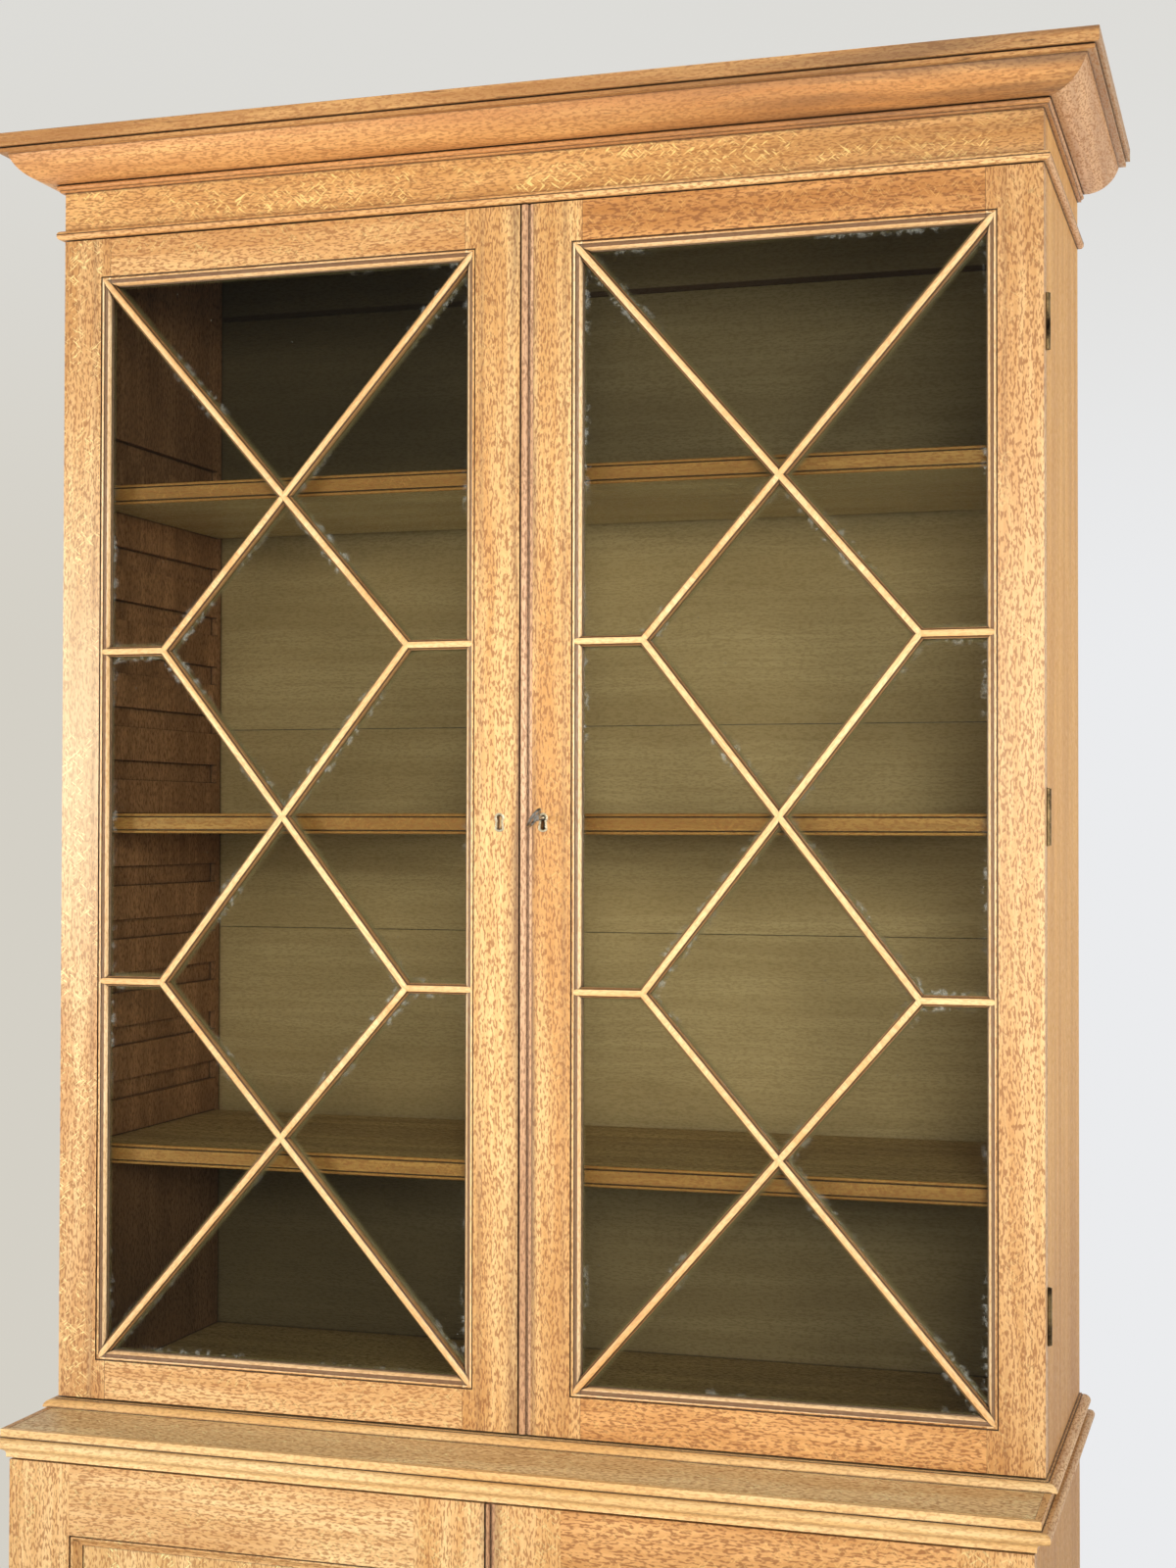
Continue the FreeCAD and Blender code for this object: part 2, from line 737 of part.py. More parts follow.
def make_lattice(door, frame):
    net = Lattice(door)
    runs = [(net.top_left, net.high_right), (net.top_right, net.high_left),
            (net.high_left, net.deep_right), (net.high_right, net.deep_left),
            (net.deep_left, net.low_right), (net.deep_right, net.low_left),
            (net.high_left, net.stile_high_left), (net.high_right, net.stile_high_right),
            (net.deep_left, net.stile_deep_left), (net.deep_right, net.stile_deep_right)]
    joints = [net.high_left, net.high_right, net.deep_left, net.deep_right]
    limit = block(door.x0 + stick_quirk, door.x1 - stick_quirk, door.face - overrun, door.back,
                  door.z0 + stick_quirk, door.z1 - stick_quirk)
    bars = []
    for run in runs:
        waste = [frame]
        for joint in joints:
            if joint in run:
                own_end = run[1] if run[0] == joint else run[0]
                others = [other for other in runs if joint in other and other != run]
                for other in others:
                    other_end = other[1] if other[0] == joint else other[0]
                    waste.append(mitre_waste(door, joint, own_end, other_end))
        bars.append(straight_bar(door, *run).common(limit).cut(waste))
    middle_depth = door.face + bar_depth * halving_share
    for first, second in [(0, 1), (2, 3), (4, 5)]:
        shared = bars[first].common(bars[second])
        box = shared.BoundBox
        behind = block(box.XMin - overrun, box.XMax + overrun, middle_depth, door.back + overrun,
                       box.ZMin - overrun, box.ZMax + overrun)
        bars[first] = bars[first].cut(shared.common(behind))
        bars[second] = bars[second].cut(shared.cut(behind))
    return [max(bar.Solids, key=lambda solid: solid.Volume) for bar in bars]


def inset_polygon(corners, insets):
    # Moves every edge of a clockwise polygon inwards by its own distance.
    lines = []
    for index, start in enumerate(corners):
        end = corners[(index + 1) % len(corners)]
        along = unit(start, end)
        inward = (along[1], -along[0])
        shift = insets[index]
        lines.append(((start[0] + inward[0] * shift, start[1] + inward[1] * shift), along))
    result = []
    for index, (point, along) in enumerate(lines):
        before, before_along = lines[index - 1]
        cross = before_along[0] * along[1] - before_along[1] * along[0]
        step = ((point[0] - before[0]) * along[1] - (point[1] - before[1]) * along[0]) / cross
        result.append((before[0] + before_along[0] * step, before[1] + before_along[1] * step))
    return result


def make_panes(door):
    net = Lattice(door)
    bar = bar_tongue_width / 2 + metal_seam
    edge = door.mould - rebate_width + metal_seam
    cells = [
        ([net.top_left, net.top_right, net.top_cross], [edge, bar, bar]),
        ([net.top_left, net.top_cross, net.high_left, net.stile_high_left], [bar, bar, bar, edge]),
        ([net.top_cross, net.top_right, net.stile_high_right, net.high_right], [bar, edge, bar, bar]),
        ([net.top_cross, net.high_right, net.middle_cross, net.high_left], [bar, bar, bar, bar]),
        ([net.stile_high_left, net.high_left, net.middle_cross, net.deep_left, net.stile_deep_left],
         [bar, bar, bar, bar, edge]),
        ([net.high_right, net.stile_high_right, net.stile_deep_right, net.deep_right, net.middle_cross],
         [bar, edge, bar, bar, bar]),
        ([net.middle_cross, net.deep_right, net.low_cross, net.deep_left], [bar, bar, bar, bar]),
        ([net.stile_deep_left, net.deep_left, net.low_cross, net.low_left], [bar, bar, bar, edge]),
        ([net.deep_right, net.stile_deep_right, net.low_right, net.low_cross], [bar, edge, bar, bar]),
        ([net.low_cross, net.low_right, net.low_left], [bar, edge, bar]),
    ]
    near = door.face + glass_depth
    far = near + glass_thickness
    return [wall_prism(inset_polygon(corners, insets), near, far) for corners, insets in cells]


def make_panel(door):
    edge = door.mould - panel_groove + panel_play
    near = door.face + panel_depth
    return block(door.x0 + edge, door.x1 - edge, near, near + panel_thickness,
                 door.z0 + edge, door.z1 - edge)


def make_meeting_bead(left, width, bead_round, face, bottom, top):
    # A wide bead, a sunk quirk and a narrow fillet, worked on the strip that closes the joint.
    path = [(0, door_thickness), (0, bead_shoulder_depth),
            ((bead_round / 2, -bead_proud), (bead_round, bead_shoulder_depth)),
            (bead_round, bead_quirk_depth), (bead_round + bead_quirk, bead_quirk_depth),
            (bead_round + bead_quirk, 0), (width, 0), (width, door_thickness)]
    section = outline(path, lambda s, v: Vector(left + s, face + v, bottom))
    return section.extrude(Vector(0, 0, top - bottom))


# Hinges

def make_screw(head, inward, slot_across):
    # A countersunk wood screw and the plain plug that its hole is cut with. The head ends at its point.
    cone_length = screw_head_radius - screw_shank_radius
    axis = Vector(*inward)
    cone = Part.makeCone(screw_head_radius, screw_shank_radius, cone_length, Vector(*head), axis)
    shank_start = Vector(*head) + axis * cone_length
    shank = Part.makeCylinder(screw_shank_radius, screw_length, shank_start, axis)
    plug = cone.fuse(shank).removeSplitter()
    half_slot = Vector(*slot_across) * (screw_slot_width / 2)
    reach = Vector(*slot_across).cross(axis) * screw_head_radius
    start = Vector(*head) - half_slot - reach
    corners = [start, start + half_slot * 2, start + half_slot * 2 + reach * 2, start + reach * 2, start]
    slot = Part.Face(Part.makePolygon(corners)).extrude(axis * screw_slot_depth)
    return plug.cut(slot), plug


class Hinge:
    # A butt hinge at the right hand side. Its axis stands a little outside the case, in the plane of
    # the door's back.
    def __init__(self, front_y, low_z):
        axis_x = half_width + hinge_pin_out
        axis_y = front_y - door_back_gap / 2
        high_z = low_z + hinge_length
        plate_end = axis_x - hinge_barrel_radius - metal_seam
        plate_start = half_width - hinge_leaf_width
        door_back = front_y - door_back_gap
        leaf_far = front_y + hinge_leaf_thickness
        leaf_near = door_back - hinge_leaf_thickness
        step = hinge_length / hinge_knuckles
        foot = Vector(axis_x, axis_y, low_z)
        frame_leaf = [block(plate_start, plate_end, front_y, leaf_far, low_z, high_z)]
        door_leaf = [block(plate_start, plate_end, leaf_near, door_back, low_z, high_z)]
        for index in range(hinge_knuckles):
            start = low_z + index * step + metal_seam / 2
            end = start + step - metal_seam
            knuckle = Part.makeCylinder(hinge_barrel_radius, end - start, Vector(axis_x, axis_y, start))
            if index % 2 == 0:
                frame_leaf += [knuckle, block(plate_end, axis_x, front_y, leaf_far, start, end)]
            else:
                door_leaf += [knuckle, block(plate_end, axis_x, leaf_near, door_back, start, end)]
        bore = Part.makeCylinder(hinge_pin_radius, hinge_length, foot)
        clear_bore = Part.makeCylinder(hinge_pin_radius + metal_seam / 2, hinge_length, foot)
        pin_foot = foot - Vector(0, 0, hinge_pin_head)
        pin_length = hinge_length + 2 * hinge_pin_head
        self.pin = Part.makeCylinder(hinge_pin_radius, pin_length, pin_foot)
        middle_x = (plate_start + plate_end) / 2
        self.frame_screws = []
        self.door_screws = []
        frame_plugs = []
        door_plugs = []
        for index in range(screws_per_leaf):
            z = low_z + hinge_length * (index + 1) / (screws_per_leaf + 1)
            screw, plug = make_screw((middle_x, front_y, z), (0, 1, 0), (0, 0, 1))
            self.frame_screws.append(screw)
            frame_plugs.append(plug)
            screw, plug = make_screw((middle_x, door_back, z), (0, -1, 0), (0, 0, 1))
            self.door_screws.append(screw)
            door_plugs.append(plug)
        self.frame_leaf = frame_leaf[0].fuse(frame_leaf[1:]).removeSplitter().cut([bore] + frame_plugs)
        self.door_leaf = door_leaf[0].fuse(door_leaf[1:]).removeSplitter().cut([clear_bore] + door_plugs)
        clearance = Part.makeCylinder(hinge_barrel_radius + hinge_wood_gap, pin_length, pin_foot)
        frame_bed = block(plate_start, axis_x, front_y - overrun, leaf_far, low_z, high_z)
        door_bed = block(plate_start, axis_x, leaf_near, door_back + overrun, low_z, high_z)
        self.frame_waste = [clearance, frame_bed] + frame_plugs
        self.door_waste = [clearance, door_bed] + door_plugs


def hinge_row(front_y, bottom, top, inset, with_middle):
    lows = [bottom + inset, top - inset - hinge_length]
    if with_middle:
        lows.append((lows[0] + lows[1]) / 2)
    return [Hinge(front_y, low) for low in lows]


# Keyholes, locks and key

def keyhole_face(x, z, y, border):
    radius = keyhole_radius + border
    waist = keyhole_waist_half + border
    foot = keyhole_foot_half + border
    waist_z = -math.sqrt(radius * radius - waist * waist)
    foot_z = -keyhole_drop - border + foot / 2
    path = [(waist, waist_z), ((0, radius), (-waist, waist_z)), (-foot, foot_z),
            ((0, -keyhole_drop - border), (foot, foot_z))]
    return outline(path, lambda u, v: Vector(x + u, y, z + v))


def keyhole_plug(x, z, face, depth, border):
    return keyhole_face(x, z, face - overrun, border).extrude(Vector(0, depth + overrun, 0))


def make_escutcheon(x, z, face):
    outer = keyhole_face(x, z, face, keyhole_border).extrude(Vector(0, escutcheon_depth, 0))
    return outer.cut(keyhole_plug(x, z, face, escutcheon_depth + overrun, 0))


class CutLock:
    # A lock let flush into the back of the right hand door. Its bolt shoots to the left.
    def __init__(self, edge_x, z, face):
        back = face + door_thickness
        near = back - lock_thickness
        low = z - lock_height / 2
        high = z + lock_height / 2
        wall = lock_wall
        gap = metal_seam
        end_x = edge_x + lock_width
        self.key_x = edge_x + keyhole_backset
        self.key_z = z
        self.inner_y = near + wall
        self.end_y = back - wall - gap
        bolt_near = self.inner_y + gap
        bolt_far = bolt_near + lock_bolt_thickness
        bolt_low = z + lock_bolt_rise
        bolt_high = bolt_low + lock_bolt_height
        shell = block(edge_x, end_x, near, back, low, high)
        hollow = block(edge_x + wall, end_x - wall, self.inner_y, back - wall, low + wall, high - wall)
        slot = block(edge_x - overrun, edge_x + wall, bolt_near - gap, bolt_far + gap,
                     bolt_low - gap, bolt_high + gap)
        self.case = shell.cut([hollow, slot, keyhole_plug(self.key_x, z, near, wall, 0)])
        bolt_start = edge_x + gap
        bolt = block(bolt_start, bolt_start + lock_bolt_length, bolt_near, bolt_far, bolt_low, bolt_high)
        # The notch that the key's bit works in. It passes over the key's axis halfway through the throw.
        notch_x = self.key_x + lock_throw / 2
        notch_half = lock_notch_width / 2
        self.bolt = bolt.cut(block(notch_x - notch_half, notch_x + notch_half, bolt_near - overrun, back,
                                   z, z + key_bit_length + 2 * gap))
        self.waste = block(edge_x - overrun, end_x, near, back + overrun, low, high)
        self.pocket = block(edge_x - meeting_gap - lock_pocket_depth, edge_x, bolt_near - gap,
                            bolt_far + gap, bolt_low - gap, bolt_high + gap)


def key_bow_disc(half_long, half_high):
    middle = Vector(-key_bow_thickness / 2, key_bow_wire - key_bow_length / 2, 0)
    oval = Part.Ellipse(middle + Vector(0, 0, half_high), middle + Vector(0, half_long, 0), middle)
    return Part.Face(Part.Wire([oval.toShape()])).extrude(Vector(key_bow_thickness, 0, 0))


def make_key(lock, face):
    # The key as it stands when it has drawn the bolt in. Its bit points up and leans to the right.
    # It is made with the end of its shank at the origin and then put in the lock.
    start = face - key_projection + key_bow_length
    length = lock.end_y - start
    axis = Vector(0, 1, 0)
    shank = Part.makeCylinder(key_shank_radius, length, Vector(), axis)
    collar = Part.makeCylinder(key_collar_radius, key_collar_length, Vector(), axis)
    bit_near = lock.inner_y + metal_seam - start
    bit = block(-key_bit_thickness / 2, key_bit_thickness / 2, bit_near, bit_near + key_bit_width,
                0, key_bit_length)
    half_long = key_bow_length / 2
    half_high = key_bow_height / 2
    bow = key_bow_disc(half_long, half_high)
    bow = bow.cut(key_bow_disc(half_long - key_bow_wire, half_high - key_bow_wire))
    rims = [edge for edge in bow.Edges if edge.BoundBox.XLength < key_bow_bevel]
    bow = bow.makeChamfer(key_bow_bevel, rims)
    key = shank.fuse([collar, bit, bow]).removeSplitter()
    key.rotate(Vector(), axis, key_lean_deg)
    key.translate(Vector(lock.key_x, start, lock.key_z))
    return key


# Flush bolts

class FlushBolt:
    # A brass bolt let into the back of a left hand door. It slides up or down out of the door's edge.
    def __init__(self, x, back, edge_z, up):
        face = back - bolt_plate_thickness
        near = face - bolt_thickness
        gap = metal_seam
        half = bolt_width / 2
        knob_z = edge_z - up * bolt_knob_place
        tail_z = edge_z - up * bolt_length
        rod = level_block(x, half, near, face, edge_z - up * gap, tail_z)
        axis = Vector(0, 1, 0)
        stem = Part.makeCylinder(bolt_stem_radius, bolt_plate_thickness + bolt_knob_stand,
                                 Vector(x, face, knob_z), axis)
        knob = Part.makeCylinder(bolt_knob_radius, bolt_knob_height,
                                 Vector(x, back + bolt_knob_stand, knob_z), axis)
        rims = [edge for edge in knob.Edges if edge.BoundBox.YLength < half]
        knob = knob.makeFillet(bolt_knob_height / 3, rims)
        self.bolt = rod.fuse([stem, knob]).removeSplitter()
        plate_near = edge_z - up * bolt_plate_margin
        plate_far = tail_z - up * (bolt_plate_margin + bolt_travel)
        half_plate = bolt_plate_width / 2
        plate = level_block(x, half_plate, face, back, plate_near, plate_far)
        slot_half = bolt_stem_radius + gap
        slot = level_block(x, slot_half, face - overrun, back + overrun,
                           knob_z - up * slot_half, knob_z + up * (bolt_travel + slot_half))
        self.plate = plate.cut(slot)
        beyond = edge_z + up * overrun
        plate_bed = level_block(x, half_plate, face, back + overrun, plate_near, plate_far)
        rod_bed = level_block(x, half + gap, near - gap, face, beyond, tail_z - up * gap)
        mouth = level_block(x, half + gap, near - gap, face + gap, beyond, plate_near)
        self.door_waste = [plate_bed, rod_bed, mouth]
        self.socket = level_block(x, half + gap, near - gap, face + gap,
                                  edge_z, edge_z + up * (bolt_travel + gap))


def level_block(x, half, y0, y1, first_z, second_z):
    # A block about an upright middle line, between two heights given in either order.
    return block(x - half, x + half, y0, y1, min(first_z, second_z), max(first_z, second_z))


# The four doors of this cabinet, with what is let into them

upper_bead_x = upper_meeting_x + meeting_gap / 2
lower_bead_x = lower_meeting_x + meeting_gap / 2
upper_left = Door(-half_width, upper_meeting_x - meeting_gap / 2, upper_bottom, upper_top, upper_face_y,
                  (upper_hinge_stile, upper_left_meeting_stile), (upper_rail, upper_rail), stick_width)
upper_right = Door(upper_bead_x + upper_bead_width, half_width, upper_bottom, upper_top, upper_face_y,
                   (upper_right_meeting_stile, upper_hinge_stile), (upper_rail, upper_rail), stick_width)
lower_left = Door(-half_width, lower_meeting_x - meeting_gap / 2, lower_bottom, lower_top, lower_face_y,
                  (lower_hinge_stile, lower_left_meeting_stile), (lower_bottom_rail, lower_top_rail),
                  panel_mould_width)
lower_right = Door(lower_bead_x + lower_bead_width, half_width, lower_bottom, lower_top, lower_face_y,
                   (lower_right_meeting_stile, lower_hinge_stile), (lower_bottom_rail, lower_top_rail),
                   panel_mould_width)


def make_glazed_door(name, door):
    door.shoulder = stick_width
    frame = whole_frame(door, stick_path(), rebate_width, glass_depth, door_thickness + overrun)
    stiles, rails = part_frame(door, frame)
    pieces[name + "_glazing_bars"] = make_lattice(door, frame)
    pieces[name + "_glass"] = make_panes(door)
    pieces[name + "_rails"] = rails
    pieces[name + "_stiles"] = stiles


def make_panelled_door(name, door):
    panel_back = panel_depth + panel_thickness
    frame = whole_frame(door, panel_mould_path(), panel_groove, panel_depth, panel_back)
    stiles, rails = part_frame(door, frame)
    pieces[name + "_panel"] = [make_panel(door)]
    pieces[name + "_rails"] = rails
    pieces[name + "_stiles"] = stiles


def cut_piece(name, index, waste):
    pieces[name][index] = pieces[name][index].cut(waste)


def hang_doors(level, case, hinges):
    # Lets the hinges of one pair of doors into the outer stiles and into the sides of the case.
    metal = []
    door_beds = []
    case_beds = []
    for hinge in hinges:
        metal += [hinge.door_leaf] + hinge.door_screws
        door_beds += hinge.door_waste
        case_beds += hinge.frame_waste
    pieces[level + "_right_hinges"] = metal
    pieces[level + "_left_hinges"] = [mirrored(shape) for shape in metal]
    cut_piece(level + "_right_stiles", 1, door_beds)
    cut_piece(level + "_left_stiles", 0, [mirrored(shape) for shape in door_beds])
    cut_piece(case + "_side_right", 0, case_beds)
    pieces[case + "_side_left"] = [mirrored(pieces[case + "_side_right"][0])]


def gather_case_metal(hinges):
    # The case leaves with their screws in one node, and the loose pins in another.
    leaves = []
    for hinge in hinges:
        leaves += [hinge.frame_leaf] + hinge.frame_screws
    pins = [hinge.pin for hinge in hinges]
    pieces["frame_hinges"] = leaves + [mirrored(shape) for shape in leaves]
    pieces["hinge_pins"] = pins + [mirrored(shape) for shape in pins]


def fit_lock(level, lock, face, bead):
    # The lock and its escutcheon in the right hand door, and a pocket for the bolt in the left one.
    hole = keyhole_plug(lock.key_x, lock.key_z, face, door_thickness - lock_thickness, 0)
    bed = keyhole_plug(lock.key_x, lock.key_z, face, escutcheon_depth, keyhole_border)
    cut_piece(level + "_right_stiles", 0, [lock.waste, hole, bed])
    cut_piece(level + "_left_stiles", 1, [lock.pocket])
    pieces[level + "_right_meeting_bead"] = [bead.cut(lock.waste)]
    pieces[level + "_right_escutcheon"] = [make_escutcheon(lock.key_x, lock.key_z, face)]
    pieces[level + "_lock_case"] = [lock.case]
    pieces[level + "_lock_bolt"] = [lock.bolt]


def fit_dummy_keyhole(x, z):
    hole = keyhole_plug(x, z, upper_face_y, dummy_keyhole_depth, 0)
    bed = keyhole_plug(x, z, upper_face_y, escutcheon_depth, keyhole_border)
    cut_piece("upper_left_stiles", 1, [hole, bed])
    pieces["upper_left_escutcheon"] = [make_escutcheon(x, z, upper_face_y)]


def fit_flush_bolts():
    # The bolts of the two left hand doors, with a socket for each in the cabinet.
    upper_x = upper_left.right - bolt_from_edge
    lower_x = lower_left.right - bolt_from_edge
    top_bolt = FlushBolt(upper_x, upper_left.back, upper_top, 1)
    bottom_bolt = FlushBolt(upper_x, upper_left.back, upper_bottom, -1)
    lower_bolt = FlushBolt(lower_x, lower_left.back, lower_bottom, -1)
    cut_piece("upper_left_stiles", 1, top_bolt.door_waste + bottom_bolt.door_waste)
    cut_piece("lower_left_stiles", 1, lower_bolt.door_waste)
    cut_piece("cornice_base_board", 0, [top_bolt.socket])
    cut_piece("foot_moulding", 0, [bottom_bolt.socket])
    cut_piece("base_floor_board", 0, [lower_bolt.socket])
    pieces["upper_left_bolt_plates"] = [top_bolt.plate, bottom_bolt.plate]
    pieces["upper_left_top_bolt"] = [top_bolt.bolt]
    pieces["upper_left_bottom_bolt"] = [bottom_bolt.bolt]
    pieces["lower_left_bolt_plate"] = [lower_bolt.plate]
    pieces["lower_left_bolt"] = [lower_bolt.bolt]


# The cabinet, from the floor up

make_plinth()
make_base_case()
pieces["waist_moulding"] = mitred_set(waist_profile, lower_face_y, 0, 0)
pieces["foot_moulding"] = mitred_set(foot_profile, upper_face_y, door_thickness + door_back_gap, 0)
make_upper_case()
make_cornice()

make_glazed_door("upper_left", upper_left)
make_glazed_door("upper_right", upper_right)
make_panelled_door("lower_left", lower_left)
make_panelled_door("lower_right", lower_right)
upper_hinges = hinge_row(upper_front_y, upper_bottom, upper_top, upper_hinge_inset, True)
lower_hinges = hinge_row(lower_front_y, lower_bottom, lower_top, lower_hinge_inset, False)
hang_doors("upper", "upper", upper_hinges)
hang_doors("lower", "base", lower_hinges)
gather_case_metal(upper_hinges + lower_hinges)

upper_lock = CutLock(upper_bead_x, upper_bottom + upper_keyhole_height, upper_face_y)
lower_lock = CutLock(lower_bead_x, lower_bottom + lower_keyhole_height, lower_face_y)
upper_bead = make_meeting_bead(upper_bead_x, upper_bead_width, upper_bead_round,
                               upper_face_y, upper_bottom, upper_top)
lower_bead = make_meeting_bead(lower_bead_x, lower_bead_width, lower_bead_round,
                               lower_face_y, lower_bottom, lower_top)
fit_lock("upper", upper_lock, upper_face_y, upper_bead)
fit_lock("lower", lower_lock, lower_face_y, lower_bead)
fit_dummy_keyhole(upper_left.right - dummy_backset, upper_lock.key_z)
pieces["cabinet_key"] = [make_key(upper_lock, upper_face_y)]
fit_flush_bolts()

os.makedirs("parts", exist_ok=True)
for name, solids in sorted(pieces.items()):
    shape = Part.makeCompound(solids)
    if not shape.isValid():
        print("not valid:", name)
    shape.exportStep("parts/" + name + ".step")
    box = shape.BoundBox
    print(name, len(shape.Solids), "solids", round(shape.Volume / 1000), "cm3",
          [round(value, 1) for value in (box.XMin, box.XMax, box.YMin, box.YMax, box.ZMin, box.ZMax)])
print(len(pieces), "nodes")
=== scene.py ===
import math
import random

import bpy
import bmesh
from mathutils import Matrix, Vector


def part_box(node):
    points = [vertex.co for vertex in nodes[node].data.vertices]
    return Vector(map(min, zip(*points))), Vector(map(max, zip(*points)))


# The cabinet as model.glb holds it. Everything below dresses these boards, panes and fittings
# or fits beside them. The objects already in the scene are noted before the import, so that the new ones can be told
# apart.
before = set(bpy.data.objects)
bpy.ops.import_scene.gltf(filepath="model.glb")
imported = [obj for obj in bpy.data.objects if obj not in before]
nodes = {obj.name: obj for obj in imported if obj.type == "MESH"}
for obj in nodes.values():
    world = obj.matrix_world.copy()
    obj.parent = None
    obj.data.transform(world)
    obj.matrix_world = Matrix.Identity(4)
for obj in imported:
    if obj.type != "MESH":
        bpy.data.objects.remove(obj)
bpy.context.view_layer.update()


# The camera stands right of the middle at chest height and looks up a little, as in the photograph.
# Its place and lens come from the corners of the doors and the cornice.
view = bpy.data.cameras.new("photograph_view")
view.sensor_width = 36.0
view.lens = 52.81
view.clip_start = 0.05
camera = bpy.data.objects.new("photograph_view", view)
camera.location = (0.8759, -2.7110, 1.5679)
camera.rotation_euler = (math.radians(91.02), math.radians(-0.11), math.radians(17.13))
bpy.context.scene.collection.objects.link(camera)
bpy.context.scene.camera = camera


# The room: a pale painted wall that is warmer on the left, seen as the world's colour, and a pale floor.
# Three soft windows light the cabinet. Their mirror images miss the panes as the camera sees them.
def linear(code):
    values = [int(code[place:place + 2], 16) / 255 for place in (1, 3, 5)]
    return [v / 12.92 if v <= 0.04045 else ((v + 0.055) / 1.055) ** 2.4 for v in values] + [1.0]


def add(tree, kind, inputs=(), **settings):
    node = tree.nodes.new(kind)
    for name, value in settings.items():
        setattr(node, name, value)
    for socket, value in dict(inputs).items():
        if isinstance(value, bpy.types.NodeSocket):
            tree.links.new(value, node.inputs[socket])
        else:
            node.inputs[socket].default_value = value
    return node


room = bpy.data.worlds.new("pale_room")
bpy.context.scene.world = room
room.use_nodes = True
tree = room.node_tree
tree.nodes.clear()
direction = add(tree, "ShaderNodeTexCoord").outputs["Generated"]
sides = add(tree, "ShaderNodeSeparateXYZ", {0: direction})
across = add(tree, "ShaderNodeMapRange", {0: sides.outputs[0], 1: -0.52, 2: -0.06}, interpolation_type="SMOOTHSTEP")
wall = add(tree, "ShaderNodeMix", {0: across.outputs[0], 6: linear("#D4D0C6"), 7: linear("#EBECEE")}, data_type="RGBA")
high = add(tree, "ShaderNodeMapRange", {0: sides.outputs[2], 1: 0.05, 2: 0.36}, interpolation_type="SMOOTHSTEP")
wall = add(tree, "ShaderNodeMix", {0: high.outputs[0], 6: wall.outputs[2], 7: linear("#DDDCD8")}, data_type="RGBA")
seen = add(tree, "ShaderNodeBackground", {0: wall.outputs[2], 1: 1.0})
rising = add(tree, "ShaderNodeMapRange", {0: sides.outputs[2], 1: -0.30, 2: 0.10, 3: 1.55, 4: 0.26})
light = add(tree, "ShaderNodeBackground", {0: linear("#F3F1EC"), 1: rising.outputs[0]})
behind = add(tree, "ShaderNodeMapRange", {0: sides.outputs[1], 1: -0.6, 2: 0.2, 3: 0.16, 4: 1.0})
mirror = add(tree, "ShaderNodeBackground", {0: wall.outputs[2], 1: behind.outputs[0]})
rays = add(tree, "ShaderNodeLightPath")
direct = add(tree, "ShaderNodeMath", {0: rays.outputs["Is Camera Ray"], 1: rays.outputs["Is Transmission Ray"]},
             operation="MAXIMUM")
mixed = add(tree, "ShaderNodeMixShader", {0: rays.outputs["Is Glossy Ray"], 1: light.outputs[0], 2: mirror.outputs[0]})
mixed = add(tree, "ShaderNodeMixShader", {0: direct.outputs[0], 1: mixed.outputs[0], 2: seen.outputs[0]})
add(tree, "ShaderNodeOutputWorld", {0: mixed.outputs[0]})

for name, place, aim, size, beam, watts, tint in (
        ("window_left", (-3.15, -3.1, 1.5), (0.0, -0.1, 1.5), (1.3, 1.1), 110, 31, "#FFF8EE"),
        ("window_front", (1.3, -3.3, 2.05), (0.0, 0.1, 1.35), (1.2, 0.8), 54, 10.5, "#FFFAF4"),
        ("window_right", (3.6, -0.5, 1.8), (0.6, 0.1, 1.4), (1.6, 2.2), 150, 13, "#FFFAF2")):
    lamp = bpy.data.lights.new(name, "AREA")
    lamp.shape = "RECTANGLE"
    lamp.size, lamp.size_y = size
    lamp.spread = math.radians(beam)
    lamp.energy = watts
    lamp.color = linear(tint)[:3]
    holder = bpy.data.objects.new(name, lamp)
    holder.location = place
    holder.rotation_euler = (Vector(aim) - Vector(place)).to_track_quat("-Z", "Y").to_euler()
    bpy.context.scene.collection.objects.link(holder)

floor_radius, floor_corners = 1.9, 64
rim = [(floor_radius * math.cos(math.tau * step / floor_corners),
        floor_radius * math.sin(math.tau * step / floor_corners), 0) for step in range(floor_corners)]
floor_mesh = bpy.data.meshes.new("studio_floor")
floor_mesh.from_pydata(rim, [], [range(floor_corners)])
floor = bpy.data.objects.new("studio_floor", floor_mesh)
bpy.context.scene.collection.objects.link(floor)
paint = bpy.data.materials.new("pale_painted_floor")
paint.use_nodes = True
paint.node_tree.nodes["Principled BSDF"].inputs["Base Color"].default_value = linear("#EFEDE8")
paint.node_tree.nodes["Principled BSDF"].inputs["Roughness"].default_value = 0.7
floor_mesh.materials.append(paint)


# The base case: plinth, floor board, sides, top and rail of quarter sawn oak, planed, rubbed and waxed.
# Pores show as short dark dashes along the grain and rays as pale flecks across it. Corners, creases and joints are
# painted darker, a painted shade.
# A pore is 0.3 mm wide in the wood. It is drawn about 1 mm wide, the finest that the picture shows.
pore_spacing, pore_pitch = 0.0022, 0.0068
fleck_spacing, fleck_pitch = 0.0020, 0.013
ring_width, ring_length = 0.006, 0.14


